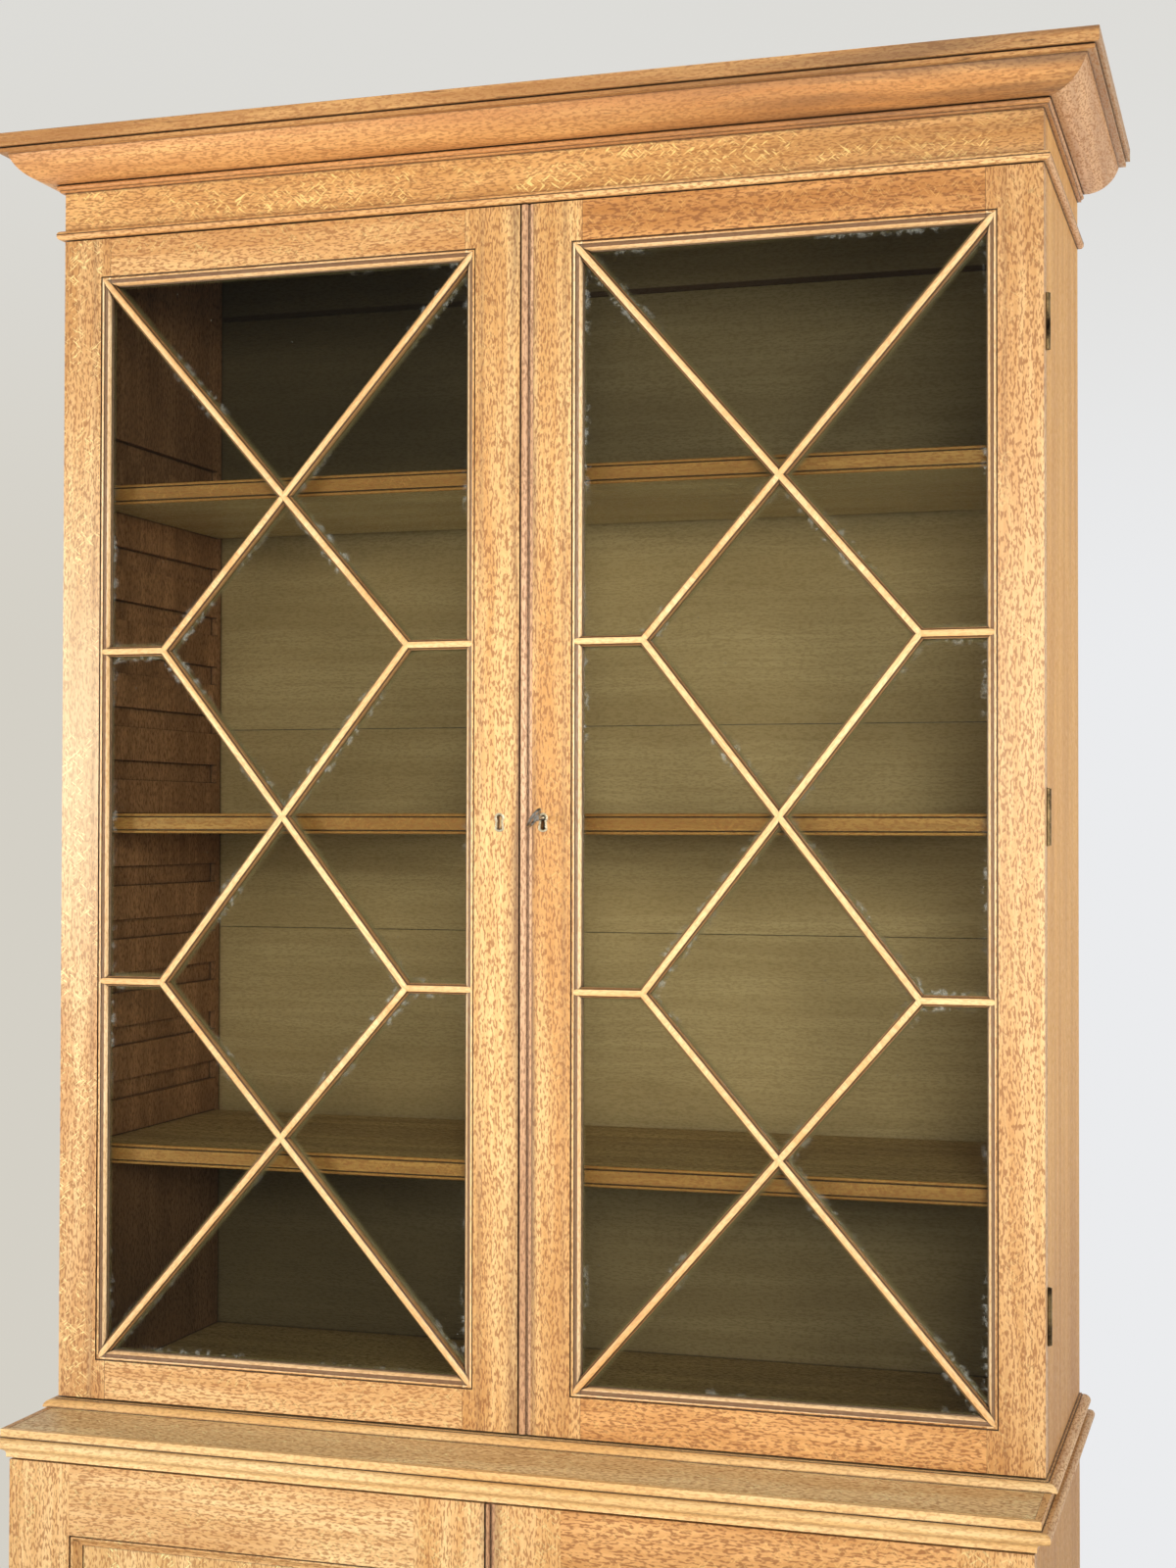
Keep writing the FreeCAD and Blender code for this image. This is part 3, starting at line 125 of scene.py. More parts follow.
def waxed_oak(name, grain, pale, deep, pores="#A9713C", stain_and_shade="#33200F", faces="Y", dashes=0.75, flecks=0.5,
              leaning=52, stains=0.0, rough=0.40, grime_and_shade_bands=(), bands_by_height=(), quirks=(), recess_shade=(), corner_shade=0.5,
              coarse=1.0, shift=0.0):
    # The grain's axis comes first in the swapped coordinates, so one set of scales serves every board.
    material = bpy.data.materials.new(name)
    material.use_nodes = True
    tree = material.node_tree
    surface = tree.nodes["Principled BSDF"]
    place = add(tree, "ShaderNodeTexCoord").outputs["Object"]
    whole = place
    if isinstance(grain, float):
        turned = add(tree, "ShaderNodeVectorRotate", {0: place, 3: grain}, rotation_type="Y_AXIS")
        place = turned.outputs[0]
        grain = "X"
    across = "XYZ".replace(grain, "").replace(faces, "") or "Y"
    order = ["XYZ".index(grain), "XYZ".index(across[0]), "XYZ".index(faces if faces != grain else "Y")]
    parts = add(tree, "ShaderNodeSeparateXYZ", {0: place}).outputs
    board = add(tree, "ShaderNodeCombineXYZ", {0: parts[order[0]], 1: parts[order[1]], 2: parts[order[2]]}).outputs[0]
    board = add(tree, "ShaderNodeVectorMath", {0: board, 1: (shift, shift * 0.37, shift * 0.71)},
                operation="ADD").outputs[0]
    wander = add(tree, "ShaderNodeTexNoise", {0: add(tree, "ShaderNodeVectorMath", {0: board, 1: (3.0, 9.0, 9.0)},
                 operation="MULTIPLY").outputs[0], "Scale": 1.0, "Detail": 2.0})
    drift = add(tree, "ShaderNodeVectorMath", {0: wander.outputs["Color"], 1: (0.5, 0.5, 0.5)}, operation="SUBTRACT")
    drift = add(tree, "ShaderNodeVectorMath", {0: drift.outputs[0], 1: (0.0, 0.022, 0.022)}, operation="MULTIPLY")
    board = add(tree, "ShaderNodeVectorMath", {0: board, 1: drift.outputs[0]}, operation="ADD").outputs[0]

    def noise(along, across, detail, source=board, **more):
        scaled = add(tree, "ShaderNodeVectorMath", {0: source, 1: (1 / along, 1 / across, 1 / across)},
                     operation="MULTIPLY")
        return add(tree, "ShaderNodeTexNoise", {0: scaled.outputs[0], "Scale": 1.0, "Detail": detail, **more}).outputs[0]

    def ramp(value, low, high, to=1.0):
        return add(tree, "ShaderNodeMapRange", {0: value, 1: low, 2: high, 4: to},
                   interpolation_type="SMOOTHSTEP").outputs[0]

    def times(first, second):
        return add(tree, "ShaderNodeMath", {0: first, 1: second}, operation="MULTIPLY").outputs[0]

    def mix(share, first, second):
        return add(tree, "ShaderNodeMix", {0: share, 6: first, 7: second}, data_type="RGBA").outputs[2]

    bands = ramp(noise(0.6, 0.04, 3.0), 0.36, 0.66)
    rings = ramp(noise(ring_length, ring_width, 3.0), 0.34, 0.68)
    pits = ramp(noise(pore_pitch * coarse, pore_spacing * coarse, 1.0), 0.47, 0.62)
    nets = []
    for lean in (leaning, -leaning):
        leant = add(tree, "ShaderNodeVectorRotate", {0: board, 3: math.radians(lean)}, rotation_type="Z_AXIS")
        nets.append(noise(fleck_pitch, fleck_spacing, 1.0, leant.outputs[0]))
    silver = ramp(add(tree, "ShaderNodeMath", {0: nets[0], 1: nets[1]}, operation="MAXIMUM").outputs[0], 0.60, 0.70)
    figured = ramp(noise(0.09, 0.03, 2.0), 0.38, 0.60)
    colour = mix(times(bands, 0.75), linear(pale), linear(deep))
    colour = mix(times(rings, 0.5), colour, linear(deep))
    colour = mix(times(pits, dashes), colour, linear(pores))
    colour = mix(times(times(silver, figured), flecks), colour, [min(1.0, v * 1.6) for v in linear(pale)])
    if stains:
        spots = ramp(noise(0.11, 0.0045, 6.0, Roughness=0.75), 0.60, 0.70, stains)
        colour = mix(spots, colour, linear(stain_and_shade))
    for height in quirks:
        # A painted dark line, the shade of a quirk that the board does not cut.
        off = add(tree, "ShaderNodeMath", {0: add(tree, "ShaderNodeSeparateXYZ", {0: whole}).outputs[2], 1: height},
                  operation="SUBTRACT")
        off = add(tree, "ShaderNodeMath", {0: off.outputs[0]}, operation="ABSOLUTE").outputs[0]
        colour = mix(ramp(off, 0.0011, 0.0005, 0.85), colour, linear(stain_and_shade))
    for near, far, tint, share in recess_shade:
        # Painted shade: the moulding is painted darker at this depth, down in its quirks and recesses.
        depth = add(tree, "ShaderNodeSeparateXYZ", {0: whole}).outputs[1]
        inside = times(ramp(depth, near - 0.0003, near), ramp(depth, far + 0.0003, far))
        colour = mix(times(inside, share), colour, linear(tint))
    for centre, reach, tint, share, way in bands_by_height:
        # The board is painted paler or darker in a band about this height.
        off = add(tree, "ShaderNodeMath", {0: add(tree, "ShaderNodeSeparateXYZ", {0: whole}).outputs[2], 1: centre},
                  operation="SUBTRACT")
        off = add(tree, "ShaderNodeMath", {0: off.outputs[0]}, operation="ABSOLUTE").outputs[0]
        colour = add(tree, "ShaderNodeMix", {0: ramp(off, reach, 0.0, share), 6: colour, 7: linear(tint)},
                     data_type="RGBA", blend_type=way).outputs[2]
    for centre, reach, share in grime_and_shade_bands:
        # A grey brown band along this line of the board, in patches: hand dirt on the door stiles, painted shade
        # towards the right end of the cornice.
        off = add(tree, "ShaderNodeMath", {0: add(tree, "ShaderNodeSeparateXYZ", {0: whole}).outputs[0], 1: centre},
                  operation="SUBTRACT")
        off = add(tree, "ShaderNodeMath", {0: off.outputs[0]}, operation="ABSOLUTE").outputs[0]
        patchy = ramp(noise(0.35, 0.02, 3.0), 0.30, 0.62)
        colour = mix(times(times(ramp(off, reach, 0.0), patchy), share), colour, linear("#6E5038"))
    # Painted shade: the colour darkens where the surface is hemmed in, broadly in corners and sharply in creases and
    # quirks.
    corner = add(tree, "ShaderNodeAmbientOcclusion", {"Distance": 0.016}, samples=3)
    colour = mix(times(ramp(corner.outputs["AO"], 0.80, 0.20), corner_shade), colour, linear("#6E4A2C"))
    crease = add(tree, "ShaderNodeAmbientOcclusion", {"Distance": 0.0026}, samples=5)
    colour = mix(times(ramp(crease.outputs["AO"], 0.94, 0.58), 0.95), colour, linear(stain_and_shade))
    tree.links.new(colour, surface.inputs["Base Color"])
    shine = add(tree, "ShaderNodeMapRange", {0: pits, 3: rough, 4: rough + 0.2})
    tree.links.new(shine.outputs[0], surface.inputs["Roughness"])
    relief = add(tree, "ShaderNodeMath", {0: rings, 1: 0.35, 2: pits}, operation="MULTIPLY_ADD")
    bump = add(tree, "ShaderNodeBump", {"Strength": 0.4, "Distance": 0.0004, "Height": relief.outputs[0]}, invert=True)
    tree.links.new(bump.outputs[0], surface.inputs["Normal"])
    return material


def arrises(node, width=0.0007):
    # Every edge of worked wood or metal is a little rounded. Faces that meet in a curve are left unbevelled, and every
    # face is shaded flat.
    weld = node.modifiers.new("joined_faces", "WELD")
    weld.merge_threshold = 0.00002
    bevel = node.modifiers.new("rubbed_arrises", "BEVEL")
    bevel.width = width
    bevel.segments = 2
    bevel.limit_method = "ANGLE"
    bevel.angle_limit = math.radians(38)
    bevel.harden_normals = False
    for face in node.data.polygons:
        face.use_smooth = False


def dress(name, materials, choose=None, width=0.0007):
    # Gives a board its finish. Where its lengths run two ways, each face takes the finish of its own length.
    node = nodes[name]
    node.data.materials.clear()
    for material in materials:
        node.data.materials.append(material)
    for face in node.data.polygons:
        face.material_index = choose(face.center) if choose else 0
    arrises(node, width)


def returns(face_y, inside):
    # 0 for the front and back lengths, 1 for the two that run from front to back beyond the mitres.
    low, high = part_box("base_top_board")

    def choose(point):
        beyond = abs(point.x) - high.x
        return int(beyond > face_y - point.y and beyond > -inside)
    return choose


lower_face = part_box("lower_left_stiles")[0].y
upper_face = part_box("upper_left_stiles")[0].y
oak_level = waxed_oak("waxed_oak_level", "X", "#E6B577", "#C0884A", pores="#9F652F")
oak_side = waxed_oak("waxed_oak_side", "Z", "#E6B063", "#CA914A", pores="#B27A3C", faces="X", dashes=0.3, flecks=0.25,
                     bands_by_height=[(0.85, 0.40, "#E8E0D4", 1.0, "MULTIPLY")], rough=0.5, shift=0.9)
oak_deep = waxed_oak("waxed_oak_front_to_back", "Y", "#D5A66A", "#B37F45", faces="X", shift=0.2)
# The base's top is painted paler than the other boards, a painted light from above, and stained.
oak_top_painted_lit = waxed_oak("waxed_oak_top_stained_painted_lit", "X", "#F4DBA8", "#D9B57C", faces="Z", stains=0.35, shift=1.3)
dress("plinth_boards", [oak_level, oak_deep], returns(lower_face, 0.020))
dress("base_floor_board", [oak_level])
dress("base_side_left", [oak_side])
dress("base_side_right", [oak_side])
dress("base_top_board", [oak_top_painted_lit])
dress("base_front_rail", [oak_level])
oak_shaded = waxed_oak("unwaxed_oak_inside", "X", "#A07C54", "#7C5B39", faces="Z", flecks=0.2, rough=0.65, shift=0.6)
oak_cleats = waxed_oak("unwaxed_oak_cleats", "Y", "#A07C54", "#7C5B39", faces="X", flecks=0.2, rough=0.65)
dress("base_shelf", [oak_shaded])
dress("base_shelf_cleats", [oak_cleats])


# The waist and foot mouldings: red brown oak, run with the grain and mitred at the corners.
# The upper fillet of the waist is knocked about, and its quirk is painted black, a painted shade.
moulding_front = waxed_oak("moulded_oak_front", "X", "#F8D69C", "#DFAE69", flecks=0.1, dashes=0.4, stains=0.45, corner_shade=0.2,
                           shift=2.1)
moulding_return = waxed_oak("moulded_oak_return", "Y", "#E6B87A", "#BB8A50", faces="X", flecks=0.1, stains=0.4, corner_shade=0.2,
                            shift=2.6)
dress("waist_moulding", [moulding_front, moulding_return], returns(lower_face, 0.001), 0.0005)
dress("foot_moulding", [moulding_front, moulding_return], returns(upper_face, 0.001), 0.0004)


# The lower doors: stiles and rails tenoned together, a moulding round a sunk panel with upright grain.
# A strip with a worked bead closes the joint where they meet.
upright = {}
# The right doors' rails are painted darker than the left's, a painted shade, and the upper doors' top rails are painted
# greyer below the cornice, a painted shadow.
rail_oak = {"left": waxed_oak("waxed_oak_rail_left", "X", "#F2CB92", "#CB9658", pores="#A06A36", flecks=0.3, coarse=1.05,
                              bands_by_height=[(2.32, 0.5, "#F2E8DC", 1.0, "MULTIPLY")],
                              shift=0.5),
            "right": waxed_oak("waxed_oak_rail_right", "X", "#E4AF70", "#B67C3E", pores="#8C5626", flecks=0.3, coarse=1.15,
                               bands_by_height=[(2.32, 0.5, "#F0E6D8", 1.0, "MULTIPLY")],
                               shift=1.9)}
for side, sign in (("left", -1), ("right", 1)):
    outer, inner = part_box("lower_%s_stiles" % side)[0].x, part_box("lower_%s_stiles" % side)[1].x
    meeting = inner if sign < 0 else outer
    upright[side] = waxed_oak("waxed_oak_upright_" + side, "Z", "#F4CD93", "#D09A58", pores="#9C632E", flecks=0.3,
                              grime_and_shade_bands=[(meeting, 0.014, 0.5)], shift=0.4 - 0.9 * sign)
    dress("lower_%s_stiles" % side, [upright[side]])
    dress("lower_%s_rails" % side, [rail_oak[side]])
panel_oak = waxed_oak("waxed_oak_panel", "Z", "#F2D096", "#D6A868", flecks=0.8, shift=3.1)
dress("lower_left_panel", [panel_oak])
dress("lower_right_panel", [panel_oak])


# The upper case: sides grooved for the shelves, floor and ceiling boards, and the loose shelves.
# Inside, the oak has no wax and has gone brown. The shelves show a golden front edge with two beads.
# The inner sides are painted near black brown about the lowest compartment, a painted shade.
inside_upright = waxed_oak("unwaxed_oak_side", "Z", "#C08F6C", "#8F6444", pores="#6E4A30", faces="X", flecks=0.15,
                           bands_by_height=[(0.92, 0.40, "#37281B", 0.6, "MIX")], rough=0.6, shift=1.7)
golden_edge = waxed_oak("waxed_oak_shelf_edge", "X", "#C89858", "#A0703A", flecks=0.2, shift=1.1)
shelf_face = waxed_oak("unwaxed_oak_shelf", "X", "#CDB483", "#A08660", pores="#7F6845", faces="Z", flecks=0.15,
                       rough=0.55, shift=2.2)
# The shelves' undersides are painted much paler, a painted light from below.
shelf_under = waxed_oak("unwaxed_oak_shelf_under_painted_lit", "X", "#EFDFB6", "#D2BD90", pores="#A5906A", faces="Z", flecks=0.15,
                        rough=0.26, shift=2.9)
low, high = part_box("upper_side_right")
for side in ("left", "right"):
    dress("upper_side_%s" % side, [oak_side, inside_upright], lambda point: int(abs(point.x) < high.x - 0.0005
          and point.y > low.y + 0.001 and point.y < high.y - 0.001))
dress("upper_floor_board", [shelf_face])
dress("upper_ceiling_board", [shelf_face])
for name in ("bottom", "middle", "top"):
    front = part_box("upper_shelf_" + name)[0].y
    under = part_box("upper_shelf_" + name)[0].z + 0.0005
    dress("upper_shelf_" + name, [shelf_face, golden_edge, shelf_under],
          lambda point: 1 if point.y < front + 0.0045 else 2 * int(point.z < under), 0.0003)


# The back boards: wide, level, rough sawn softwood that has gone a dull olive, with dark open joints.
# The boards at the top and foot are painted darker, most at the left, a painted shade.
back_oak = waxed_oak("aged_back_board", "X", "#C6B08B", "#AD9670", pores="#8C7852", flecks=0.0, dashes=0.3,
                     rough=0.6, stains=0.10, shift=4.0)
tree = back_oak.node_tree
surface = tree.nodes["Principled BSDF"]
tone = surface.inputs["Base Color"].links[0].from_socket
place = add(tree, "ShaderNodeSeparateXYZ", {0: add(tree, "ShaderNodeTexCoord").outputs["Object"]}).outputs
shelf_low, shelf_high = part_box("upper_shelf_bottom")[0].z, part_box("upper_shelf_top")[1].z
# Painted shade: the boards darken above the top shelf and below the bottom shelf, and more to the left.
shade_fade = 0.10
above = add(tree, "ShaderNodeMapRange", {0: place[2], 1: shelf_high - shade_fade, 2: shelf_high + shade_fade, 3: 0.0, 4: 0.55},
            interpolation_type="SMOOTHSTEP")
below = add(tree, "ShaderNodeMapRange", {0: place[2], 1: shelf_low + shade_fade, 2: shelf_low - shade_fade, 3: 0.0, 4: 0.50},
            interpolation_type="SMOOTHSTEP")
shade_by_height = add(tree, "ShaderNodeMath", {0: above.outputs[0], 1: below.outputs[0]}, operation="MAXIMUM")
shade_to_left = add(tree, "ShaderNodeMapRange", {0: place[0], 1: 0.1, 2: -0.35, 3: 0.0, 4: 0.55},
               interpolation_type="SMOOTHSTEP")
shade_to_left = add(tree, "ShaderNodeMath", {0: shade_to_left.outputs[0], 1: shade_by_height.outputs[0], 2: shade_by_height.outputs[0]},
               operation="MULTIPLY_ADD", use_clamp=True)
bare_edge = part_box("upper_back_boards")[0].z + 1.4465
off = add(tree, "ShaderNodeMath", {0: place[2], 1: bare_edge}, operation="SUBTRACT")
off = add(tree, "ShaderNodeMath", {0: off.outputs[0]}, operation="ABSOLUTE")
bare = add(tree, "ShaderNodeMapRange", {0: off.outputs[0], 1: 0.0048, 2: 0.0030, 4: 0.9})
tone = add(tree, "ShaderNodeMix", {0: bare.outputs[0], 6: tone, 7: linear("#5A3224")}, data_type="RGBA").outputs[2]
painted_shade_mix = add(tree, "ShaderNodeMix", {0: shade_to_left.outputs[0], 6: tone, 7: linear("#2E2415")}, data_type="RGBA")
tree.links.new(painted_shade_mix.outputs[2], surface.inputs["Base Color"])
dress("upper_back_boards", [back_oak], width=0.0008)
dress("base_back_boards", [back_oak], width=0.0008)


# The cornice: a base moulding with a rounded edge, frieze, neck moulding, ovolo and a flat fascia.
# The fascia is streaked with black, and the ovolo is redder with a long open grain.
# The frieze, ovolo and fascia are painted darker towards the right end in patches, a painted shade.
frieze_front = waxed_oak("waxed_oak_frieze", "X", "#E8B574", "#BC8444", pores="#94602C", flecks=0.8, leaning=40,
                           grime_and_shade_bands=[(0.62, 0.6, 0.25)], shift=5.0)
ovolo_front = waxed_oak("moulded_oak_ovolo", "X", "#E8B06E", "#BC7C44", flecks=0.1, stains=0.5, corner_shade=0.2,
                          grime_and_shade_bands=[(0.68, 0.8, 0.8)], shift=6.0)
ovolo_return = waxed_oak("moulded_oak_ovolo_return", "Y", "#E2B078", "#B07C48", faces="X", flecks=0.1, stains=0.4, corner_shade=0.2,
                         shift=6.3)
fascia_front = waxed_oak("streaked_oak_fascia", "X", "#D8A66A", "#A46F3C", flecks=0.1, stains=0.95,
                           grime_and_shade_bands=[(0.68, 0.9, 0.75)], shift=7.0)
fascia_return = waxed_oak("streaked_oak_fascia_return", "Y", "#C69C6A", "#966C42", faces="X", flecks=0.1, stains=0.75,
                          shift=7.7)
board_low, board_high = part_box("cornice_base_board")
# The quirk above the cornice base board's rounded edge is a painted dark line, a painted shade.
quirk_height = board_low.z + 0.0064
base_front = waxed_oak("waxed_oak_cornice_base", "X", "#F3C88C", "#D49B5C", flecks=0.0, quirks=[quirk_height], shift=5.2)
base_return = waxed_oak("waxed_oak_cornice_base_return", "Y", "#E0AE74", "#B98750", faces="X", flecks=0.0,
                        quirks=[quirk_height], shift=5.6)
dress("cornice_base_board", [base_front, base_return], returns(upper_face, 0.001))
dress("cornice_frieze", [frieze_front])
dress("cornice_neck", [ovolo_front, ovolo_return], returns(upper_face, 0.001), 0.0004)
dress("cornice_ovolo", [ovolo_front, ovolo_return], returns(upper_face, 0.001))
dress("cornice_fascia", [fascia_front, fascia_return], returns(upper_face, 0.0605))
dress("cornice_dust_board", [oak_shaded])


# The upper doors: stiles run through and rails tenoned between them, with the sticking worked on both.
# The outer stiles show more figure and a painted sheen at mid height, strongest on the left. The meeting stiles have
# gone brown where hands reach.
upper_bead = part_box("upper_right_meeting_bead")
# The sticking is painted paler than the stiles, a painted highlight on its round, and darker at the depth of its quirk
# and of the rebate, a painted shade.
sticking_shade = [(upper_face + 0.0015, upper_face + 0.0025, "#5A3518", 0.85),
          (upper_face + 0.0072, upper_face + 0.0120, "#33271A", 0.8)]
stick_upright = waxed_oak("moulded_oak_sticking_upright", "Z", "#F8DAAC", "#E2B478", dashes=0.35, flecks=0.0,
                          recess_shade=sticking_shade, shift=9.4)
stick_level = waxed_oak("moulded_oak_sticking_level", "X", "#F4D0A0", "#D8A66A", dashes=0.35, flecks=0.0,
                        recess_shade=sticking_shade, shift=9.8)
for side, edge, reach in (("left", upper_bead[0].x, 0.020), ("right", upper_bead[1].x, 0.009)):
    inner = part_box("upper_%s_glazing_bars" % side)
    middle_x = (inner[0].x + inner[1].x) / 2
    outward = -1 if side == "left" else 1
    sight = [(inner[0].x - 0.012, 0.006, 0.3), (inner[1].x + 0.012, 0.006, 0.3)]
    # A painted sheen: the hinge stiles are painted paler at mid height, most on the left door.
    painted_sheen_band = [(1.66, 0.46, "#F7E8C8", 0.35 if side == "left" else 0.08, "MIX")]
    meeting_oak = waxed_oak("waxed_oak_meeting_stile_" + side, "Z", "#EAC083", "#BF8848", pores="#8E5727", flecks=0.15,
                            grime_and_shade_bands=sight + [(edge, reach, 0.85)], shift=len(side) * 0.83)
    hinge_oak = waxed_oak("waxed_oak_hinge_stile_" + side, "Z", "#E6BC83", "#BF884A", pores="#905A2A",
                          flecks=0.75 if side == "left" else 0.2, grime_and_shade_bands=sight, bands_by_height=painted_sheen_band,
                          shift=len(side) * 0.61)


    def worked_in(point):
        beside = inner[0].x - 0.001 < point.x < inner[1].x + 0.001
        return int(beside and inner[0].z - 0.001 < point.z < inner[1].z + 0.001)

    dress("upper_%s_stiles" % side, [meeting_oak, hinge_oak, stick_upright],
          lambda point: 2 if worked_in(point) else int((point.x - middle_x) * outward > 0))
    dress("upper_%s_rails" % side, [rail_oak[side], stick_level], worked_in)


# The glazing bars: short lengths of moulded oak, halved where they cross and mitred at the side joints.
# Each bar's grain runs along it. The two slopes are the steep bars between the side joints and the longer ones.
for side in ("left", "right"):
    name = "upper_%s_glazing_bars" % side
    low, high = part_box(name)
    middle = (low + high) / 2
    half_wide = (high.x - low.x) / 2
    half_tall = (high.z - low.z) / 2
    slope = 2 * 0.211 * half_tall / half_wide
    slope = math.atan(slope)
    ways = (("rising", slope), ("falling", -slope), ("level", "X"))
    quirk_y, side_y = low.y + 0.0013, low.y + 0.0047
    # The ridge is painted paler than the slopes, a painted highlight. The step below it is painted dark, a painted
    # shade, and the sides behind are painted olive brown, the putty's tone with painted shade.
    bar_shade_and_putty = [(quirk_y + 0.0002, quirk_y + 0.0024, "#4A2C14", 0.9), (side_y, high.y, "#7A6238", 0.7)]
    bar_oaks = [waxed_oak("moulded_oak_bar_%s_%s" % (way, side), grain, "#D9A566", "#A8743E", dashes=0.3, flecks=0.0,
                          recess_shade=bar_shade_and_putty, shift=8.0 + index / 2) for index, (way, grain) in enumerate(ways)]
    ridge_oaks_painted_highlight = [waxed_oak("rubbed_oak_ridge_%s_%s" % (way, side), grain, "#F6D29A", "#DCA868", dashes=0.3, flecks=0.0,
                            corner_shade=0.1, shift=8.2 + index / 2) for index, (way, grain) in enumerate(ways)]

    def bar_way(point):
        across = (point.x - middle.x) / half_wide
        up = (point.z - middle.z) / half_tall
        way = int(across * up < 0)
        if abs(across) > 0.66 and abs(abs(up) - 0.304) < 0.013:
            way = 2
        return way + len(ways) * int(point.y < quirk_y)
    dress(name, bar_oaks + ridge_oaks_painted_highlight, bar_way, 0.0003)


# The panes: thin drawn glass with a faint green cast. They let the lamps through. The olive putty that
# beds them shows on their rear faces, beside the bars and the sticking.
drawn_glass = bpy.data.materials.new("drawn_window_glass")
drawn_glass.use_nodes = True
tree = drawn_glass.node_tree
tree.nodes.clear()
clear = add(tree, "ShaderNodeBsdfTransparent", {0: linear("#EDEEE6")})
place = add(tree, "ShaderNodeTexCoord").outputs["Object"]
waves = add(tree, "ShaderNodeTexNoise", {0: place, "Scale": 9.0, "Detail": 1.0})
ripple = add(tree, "ShaderNodeBump", {"Strength": 0.25, "Distance": 0.002, "Height": waves.outputs[0]})
polished = add(tree, "ShaderNodeBsdfGlossy", {"Color": linear("#FFFFFF"), "Roughness": 0.03,
                                             "Normal": ripple.outputs[0]})
edge_on = add(tree, "ShaderNodeFresnel", {"IOR": 1.33, "Normal": ripple.outputs[0]})
sheet = add(tree, "ShaderNodeMixShader", {0: edge_on.outputs[0], 1: clear.outputs[0], 2: polished.outputs[0]})
beside = add(tree, "ShaderNodeAmbientOcclusion", {"Distance": 0.009}, samples=4)
near = add(tree, "ShaderNodeMapRange", {0: beside.outputs["AO"], 1: 0.95, 2: 0.75}, interpolation_type="SMOOTHSTEP")
daubs = add(tree, "ShaderNodeTexNoise", {0: place, "Scale": 80.0, "Detail": 5.0, "Roughness": 0.75})
daubs = add(tree, "ShaderNodeMapRange", {0: daubs.outputs[0], 1: 0.50, 2: 0.60, 4: 0.4})
stretches = add(tree, "ShaderNodeTexNoise", {0: place, "Scale": 7.0, "Detail": 1.0})
stretches = add(tree, "ShaderNodeMapRange", {0: stretches.outputs[0], 1: 0.50, 2: 0.62})
daubs = add(tree, "ShaderNodeMath", {0: daubs.outputs[0], 1: stretches.outputs[0]}, operation="MULTIPLY")
smear = add(tree, "ShaderNodeMath", {0: near.outputs[0], 1: daubs.outputs[0]}, operation="MULTIPLY")
specks = add(tree, "ShaderNodeTexVoronoi", {0: place, "Scale": 34.0})
specks = add(tree, "ShaderNodeMapRange", {0: specks.outputs["Distance"], 1: 0.03, 2: 0.0, 4: 0.6})
smear = add(tree, "ShaderNodeMath", {0: smear.outputs[0], 1: specks.outputs[0]}, operation="MAXIMUM")
rear = add(tree, "ShaderNodeNewGeometry").outputs["Backfacing"]
front = add(tree, "ShaderNodeMath", {0: 1.0, 1: rear}, operation="SUBTRACT")
smear = add(tree, "ShaderNodeMath", {0: smear.outputs[0], 1: front.outputs[0]}, operation="MULTIPLY")
dust = add(tree, "ShaderNodeBsdfDiffuse", {0: linear("#B4B7B0")})
sheet = add(tree, "ShaderNodeMixShader", {0: smear.outputs[0], 1: sheet.outputs[0], 2: dust.outputs[0]})
bedded = add(tree, "ShaderNodeAmbientOcclusion", {"Distance": 0.010}, samples=4, inside=True)
bedded = add(tree, "ShaderNodeMapRange", {0: bedded.outputs["AO"], 1: 0.90, 2: 0.80})
bedded = add(tree, "ShaderNodeMath", {0: bedded.outputs[0], 1: rear}, operation="MULTIPLY")
putty = add(tree, "ShaderNodeBsdfDiffuse", {0: linear("#8C8260")})
sheet = add(tree, "ShaderNodeMixShader", {0: bedded.outputs[0], 1: sheet.outputs[0], 2: putty.outputs[0]})
add(tree, "ShaderNodeOutputMaterial", {0: sheet.outputs[0]})
for side in ("left", "right"):
    pane = nodes["upper_%s_glass" % side]
    pane.data.materials.clear()
    pane.data.materials.append(drawn_glass)


# The bead strips on the meeting edges, rubbed pale and pinkish on the round, stained dark, and painted black in the
# quirk, a painted shade.
worn_bead = waxed_oak("handled_oak_bead", "Z", "#D9AF88", "#B98A62", pores="#8F6646", stain_and_shade="#2A1A0E", flecks=0.0,
                      stains=0.3, shift=9.0)
dress("upper_right_meeting_bead", [worn_bead], width=0.0003)
dress("lower_right_meeting_bead", [worn_bead], width=0.0003)


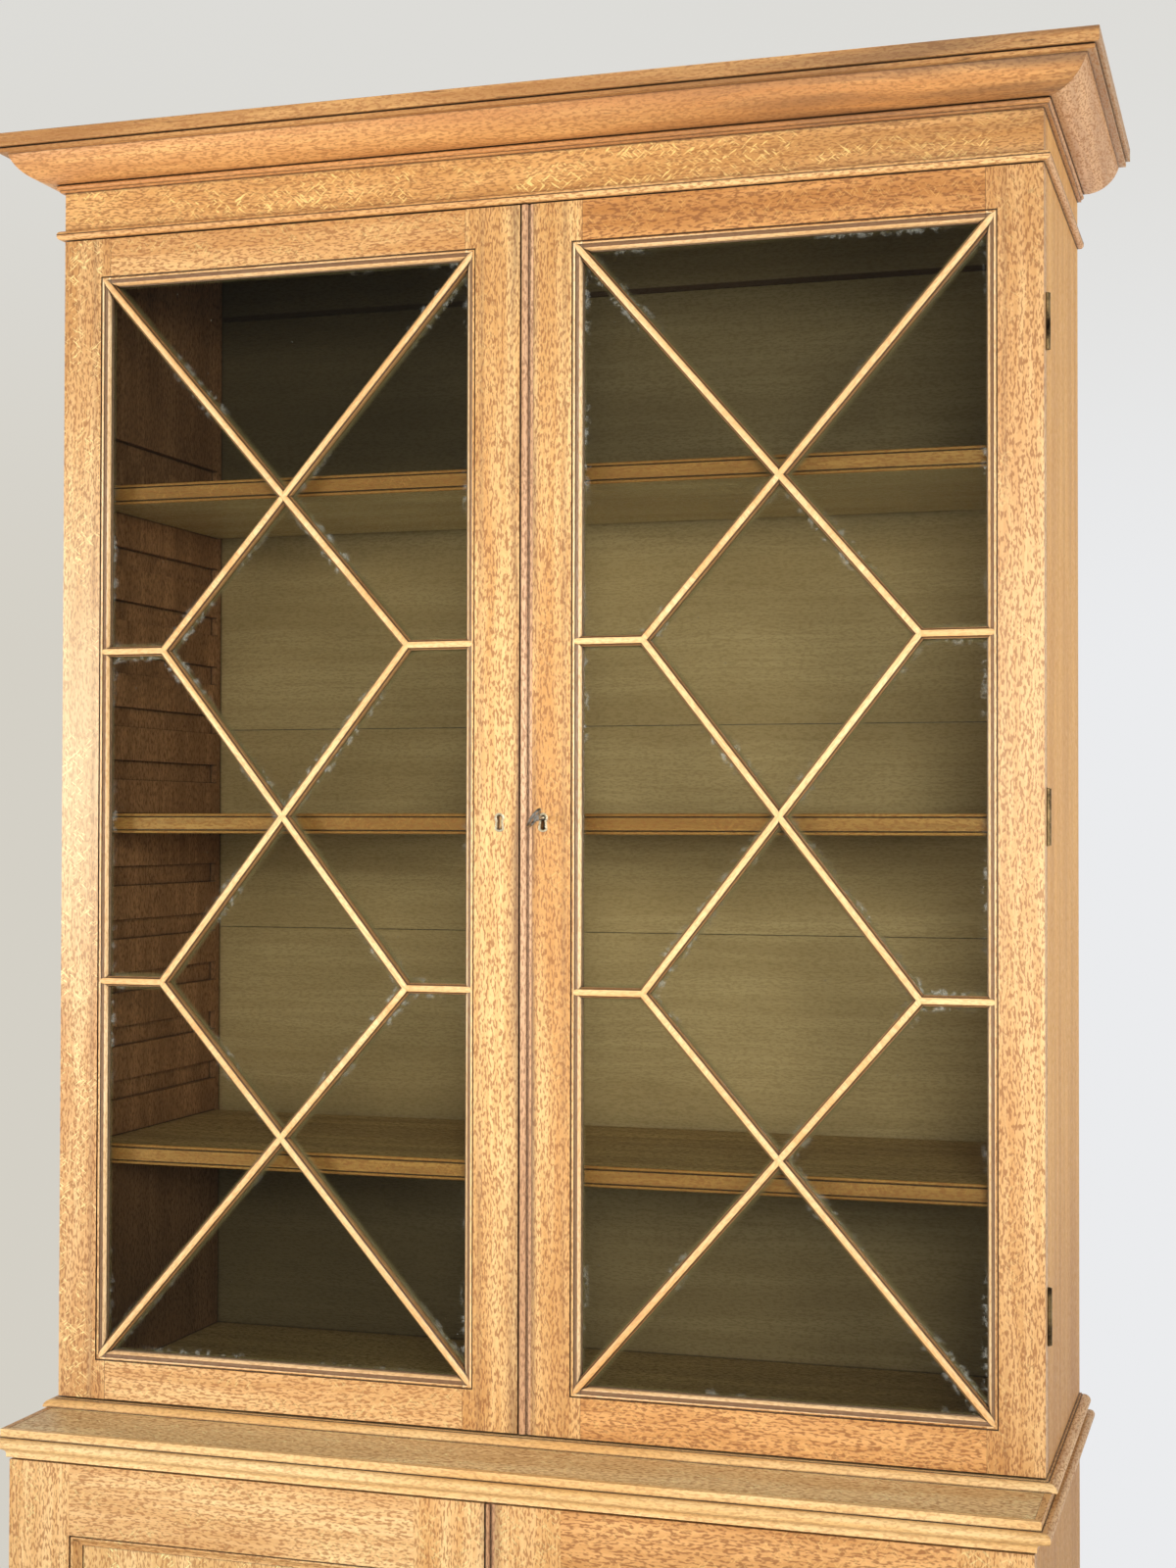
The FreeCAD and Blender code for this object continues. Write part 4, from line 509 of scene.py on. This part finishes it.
# Butt hinges of cast brass, brown with age, with steel screws let in flush.
def aged_metal(name, bright, dark, rough, reach=0.02):
    material = bpy.data.materials.new(name)
    material.use_nodes = True
    tree = material.node_tree
    surface = tree.nodes["Principled BSDF"]
    place = add(tree, "ShaderNodeTexCoord").outputs["Object"]
    cloud = add(tree, "ShaderNodeTexNoise", {0: place, "Scale": 1 / reach, "Detail": 5.0, "Roughness": 0.65})
    share = add(tree, "ShaderNodeMapRange", {0: cloud.outputs[0], 1: 0.35, 2: 0.68}, interpolation_type="SMOOTHSTEP")
    colour = add(tree, "ShaderNodeMix", {0: share.outputs[0], 6: linear(bright), 7: linear(dark)}, data_type="RGBA")
    tree.links.new(colour.outputs[2], surface.inputs["Base Color"])
    dull = add(tree, "ShaderNodeMapRange", {0: cloud.outputs[0], 1: 0.3, 2: 0.7, 3: rough, 4: rough + 0.25})
    tree.links.new(dull.outputs[0], surface.inputs["Roughness"])
    fine = add(tree, "ShaderNodeTexNoise", {0: place, "Scale": 900.0, "Detail": 2.0})
    bump = add(tree, "ShaderNodeBump", {"Strength": 0.3, "Distance": 0.0002, "Height": fine.outputs[0]})
    tree.links.new(bump.outputs[0], surface.inputs["Normal"])
    surface.inputs["Metallic"].default_value = 1.0
    return material


old_brass = aged_metal("aged_cast_brass", "#8F7A55", "#2A2118", 0.42)
for name in ("frame_hinges", "hinge_pins", "upper_left_hinges", "upper_right_hinges", "lower_left_hinges",
             "lower_right_hinges", "upper_left_bolt_plates", "lower_left_bolt_plate", "upper_left_top_bolt",
             "upper_left_bottom_bolt", "lower_left_bolt"):
    dress(name, [old_brass], width=0.0002)


# Locks of blued steel let into the right hand doors, thread escutcheons with pale worn rims, and the key.
blued_steel = aged_metal("blued_steel", "#6F6A62", "#2F2B27", 0.35)
pale_rim = aged_metal("worn_brass_rim", "#E3DCC2", "#A89A78", 0.3, 0.006)
polished_iron = aged_metal("handled_iron", "#B9B6B0", "#5A5650", 0.25, 0.008)
for name in ("upper_lock_case", "upper_lock_bolt", "lower_lock_case", "lower_lock_bolt"):
    dress(name, [blued_steel], width=0.0002)
for name in ("upper_left_escutcheon", "upper_right_escutcheon", "lower_right_escutcheon"):
    dress(name, [pale_rim], width=0.0004)
dress("cabinet_key", [polished_iron], width=0.0002)


bpy.context.scene.view_settings.view_transform = "Standard"
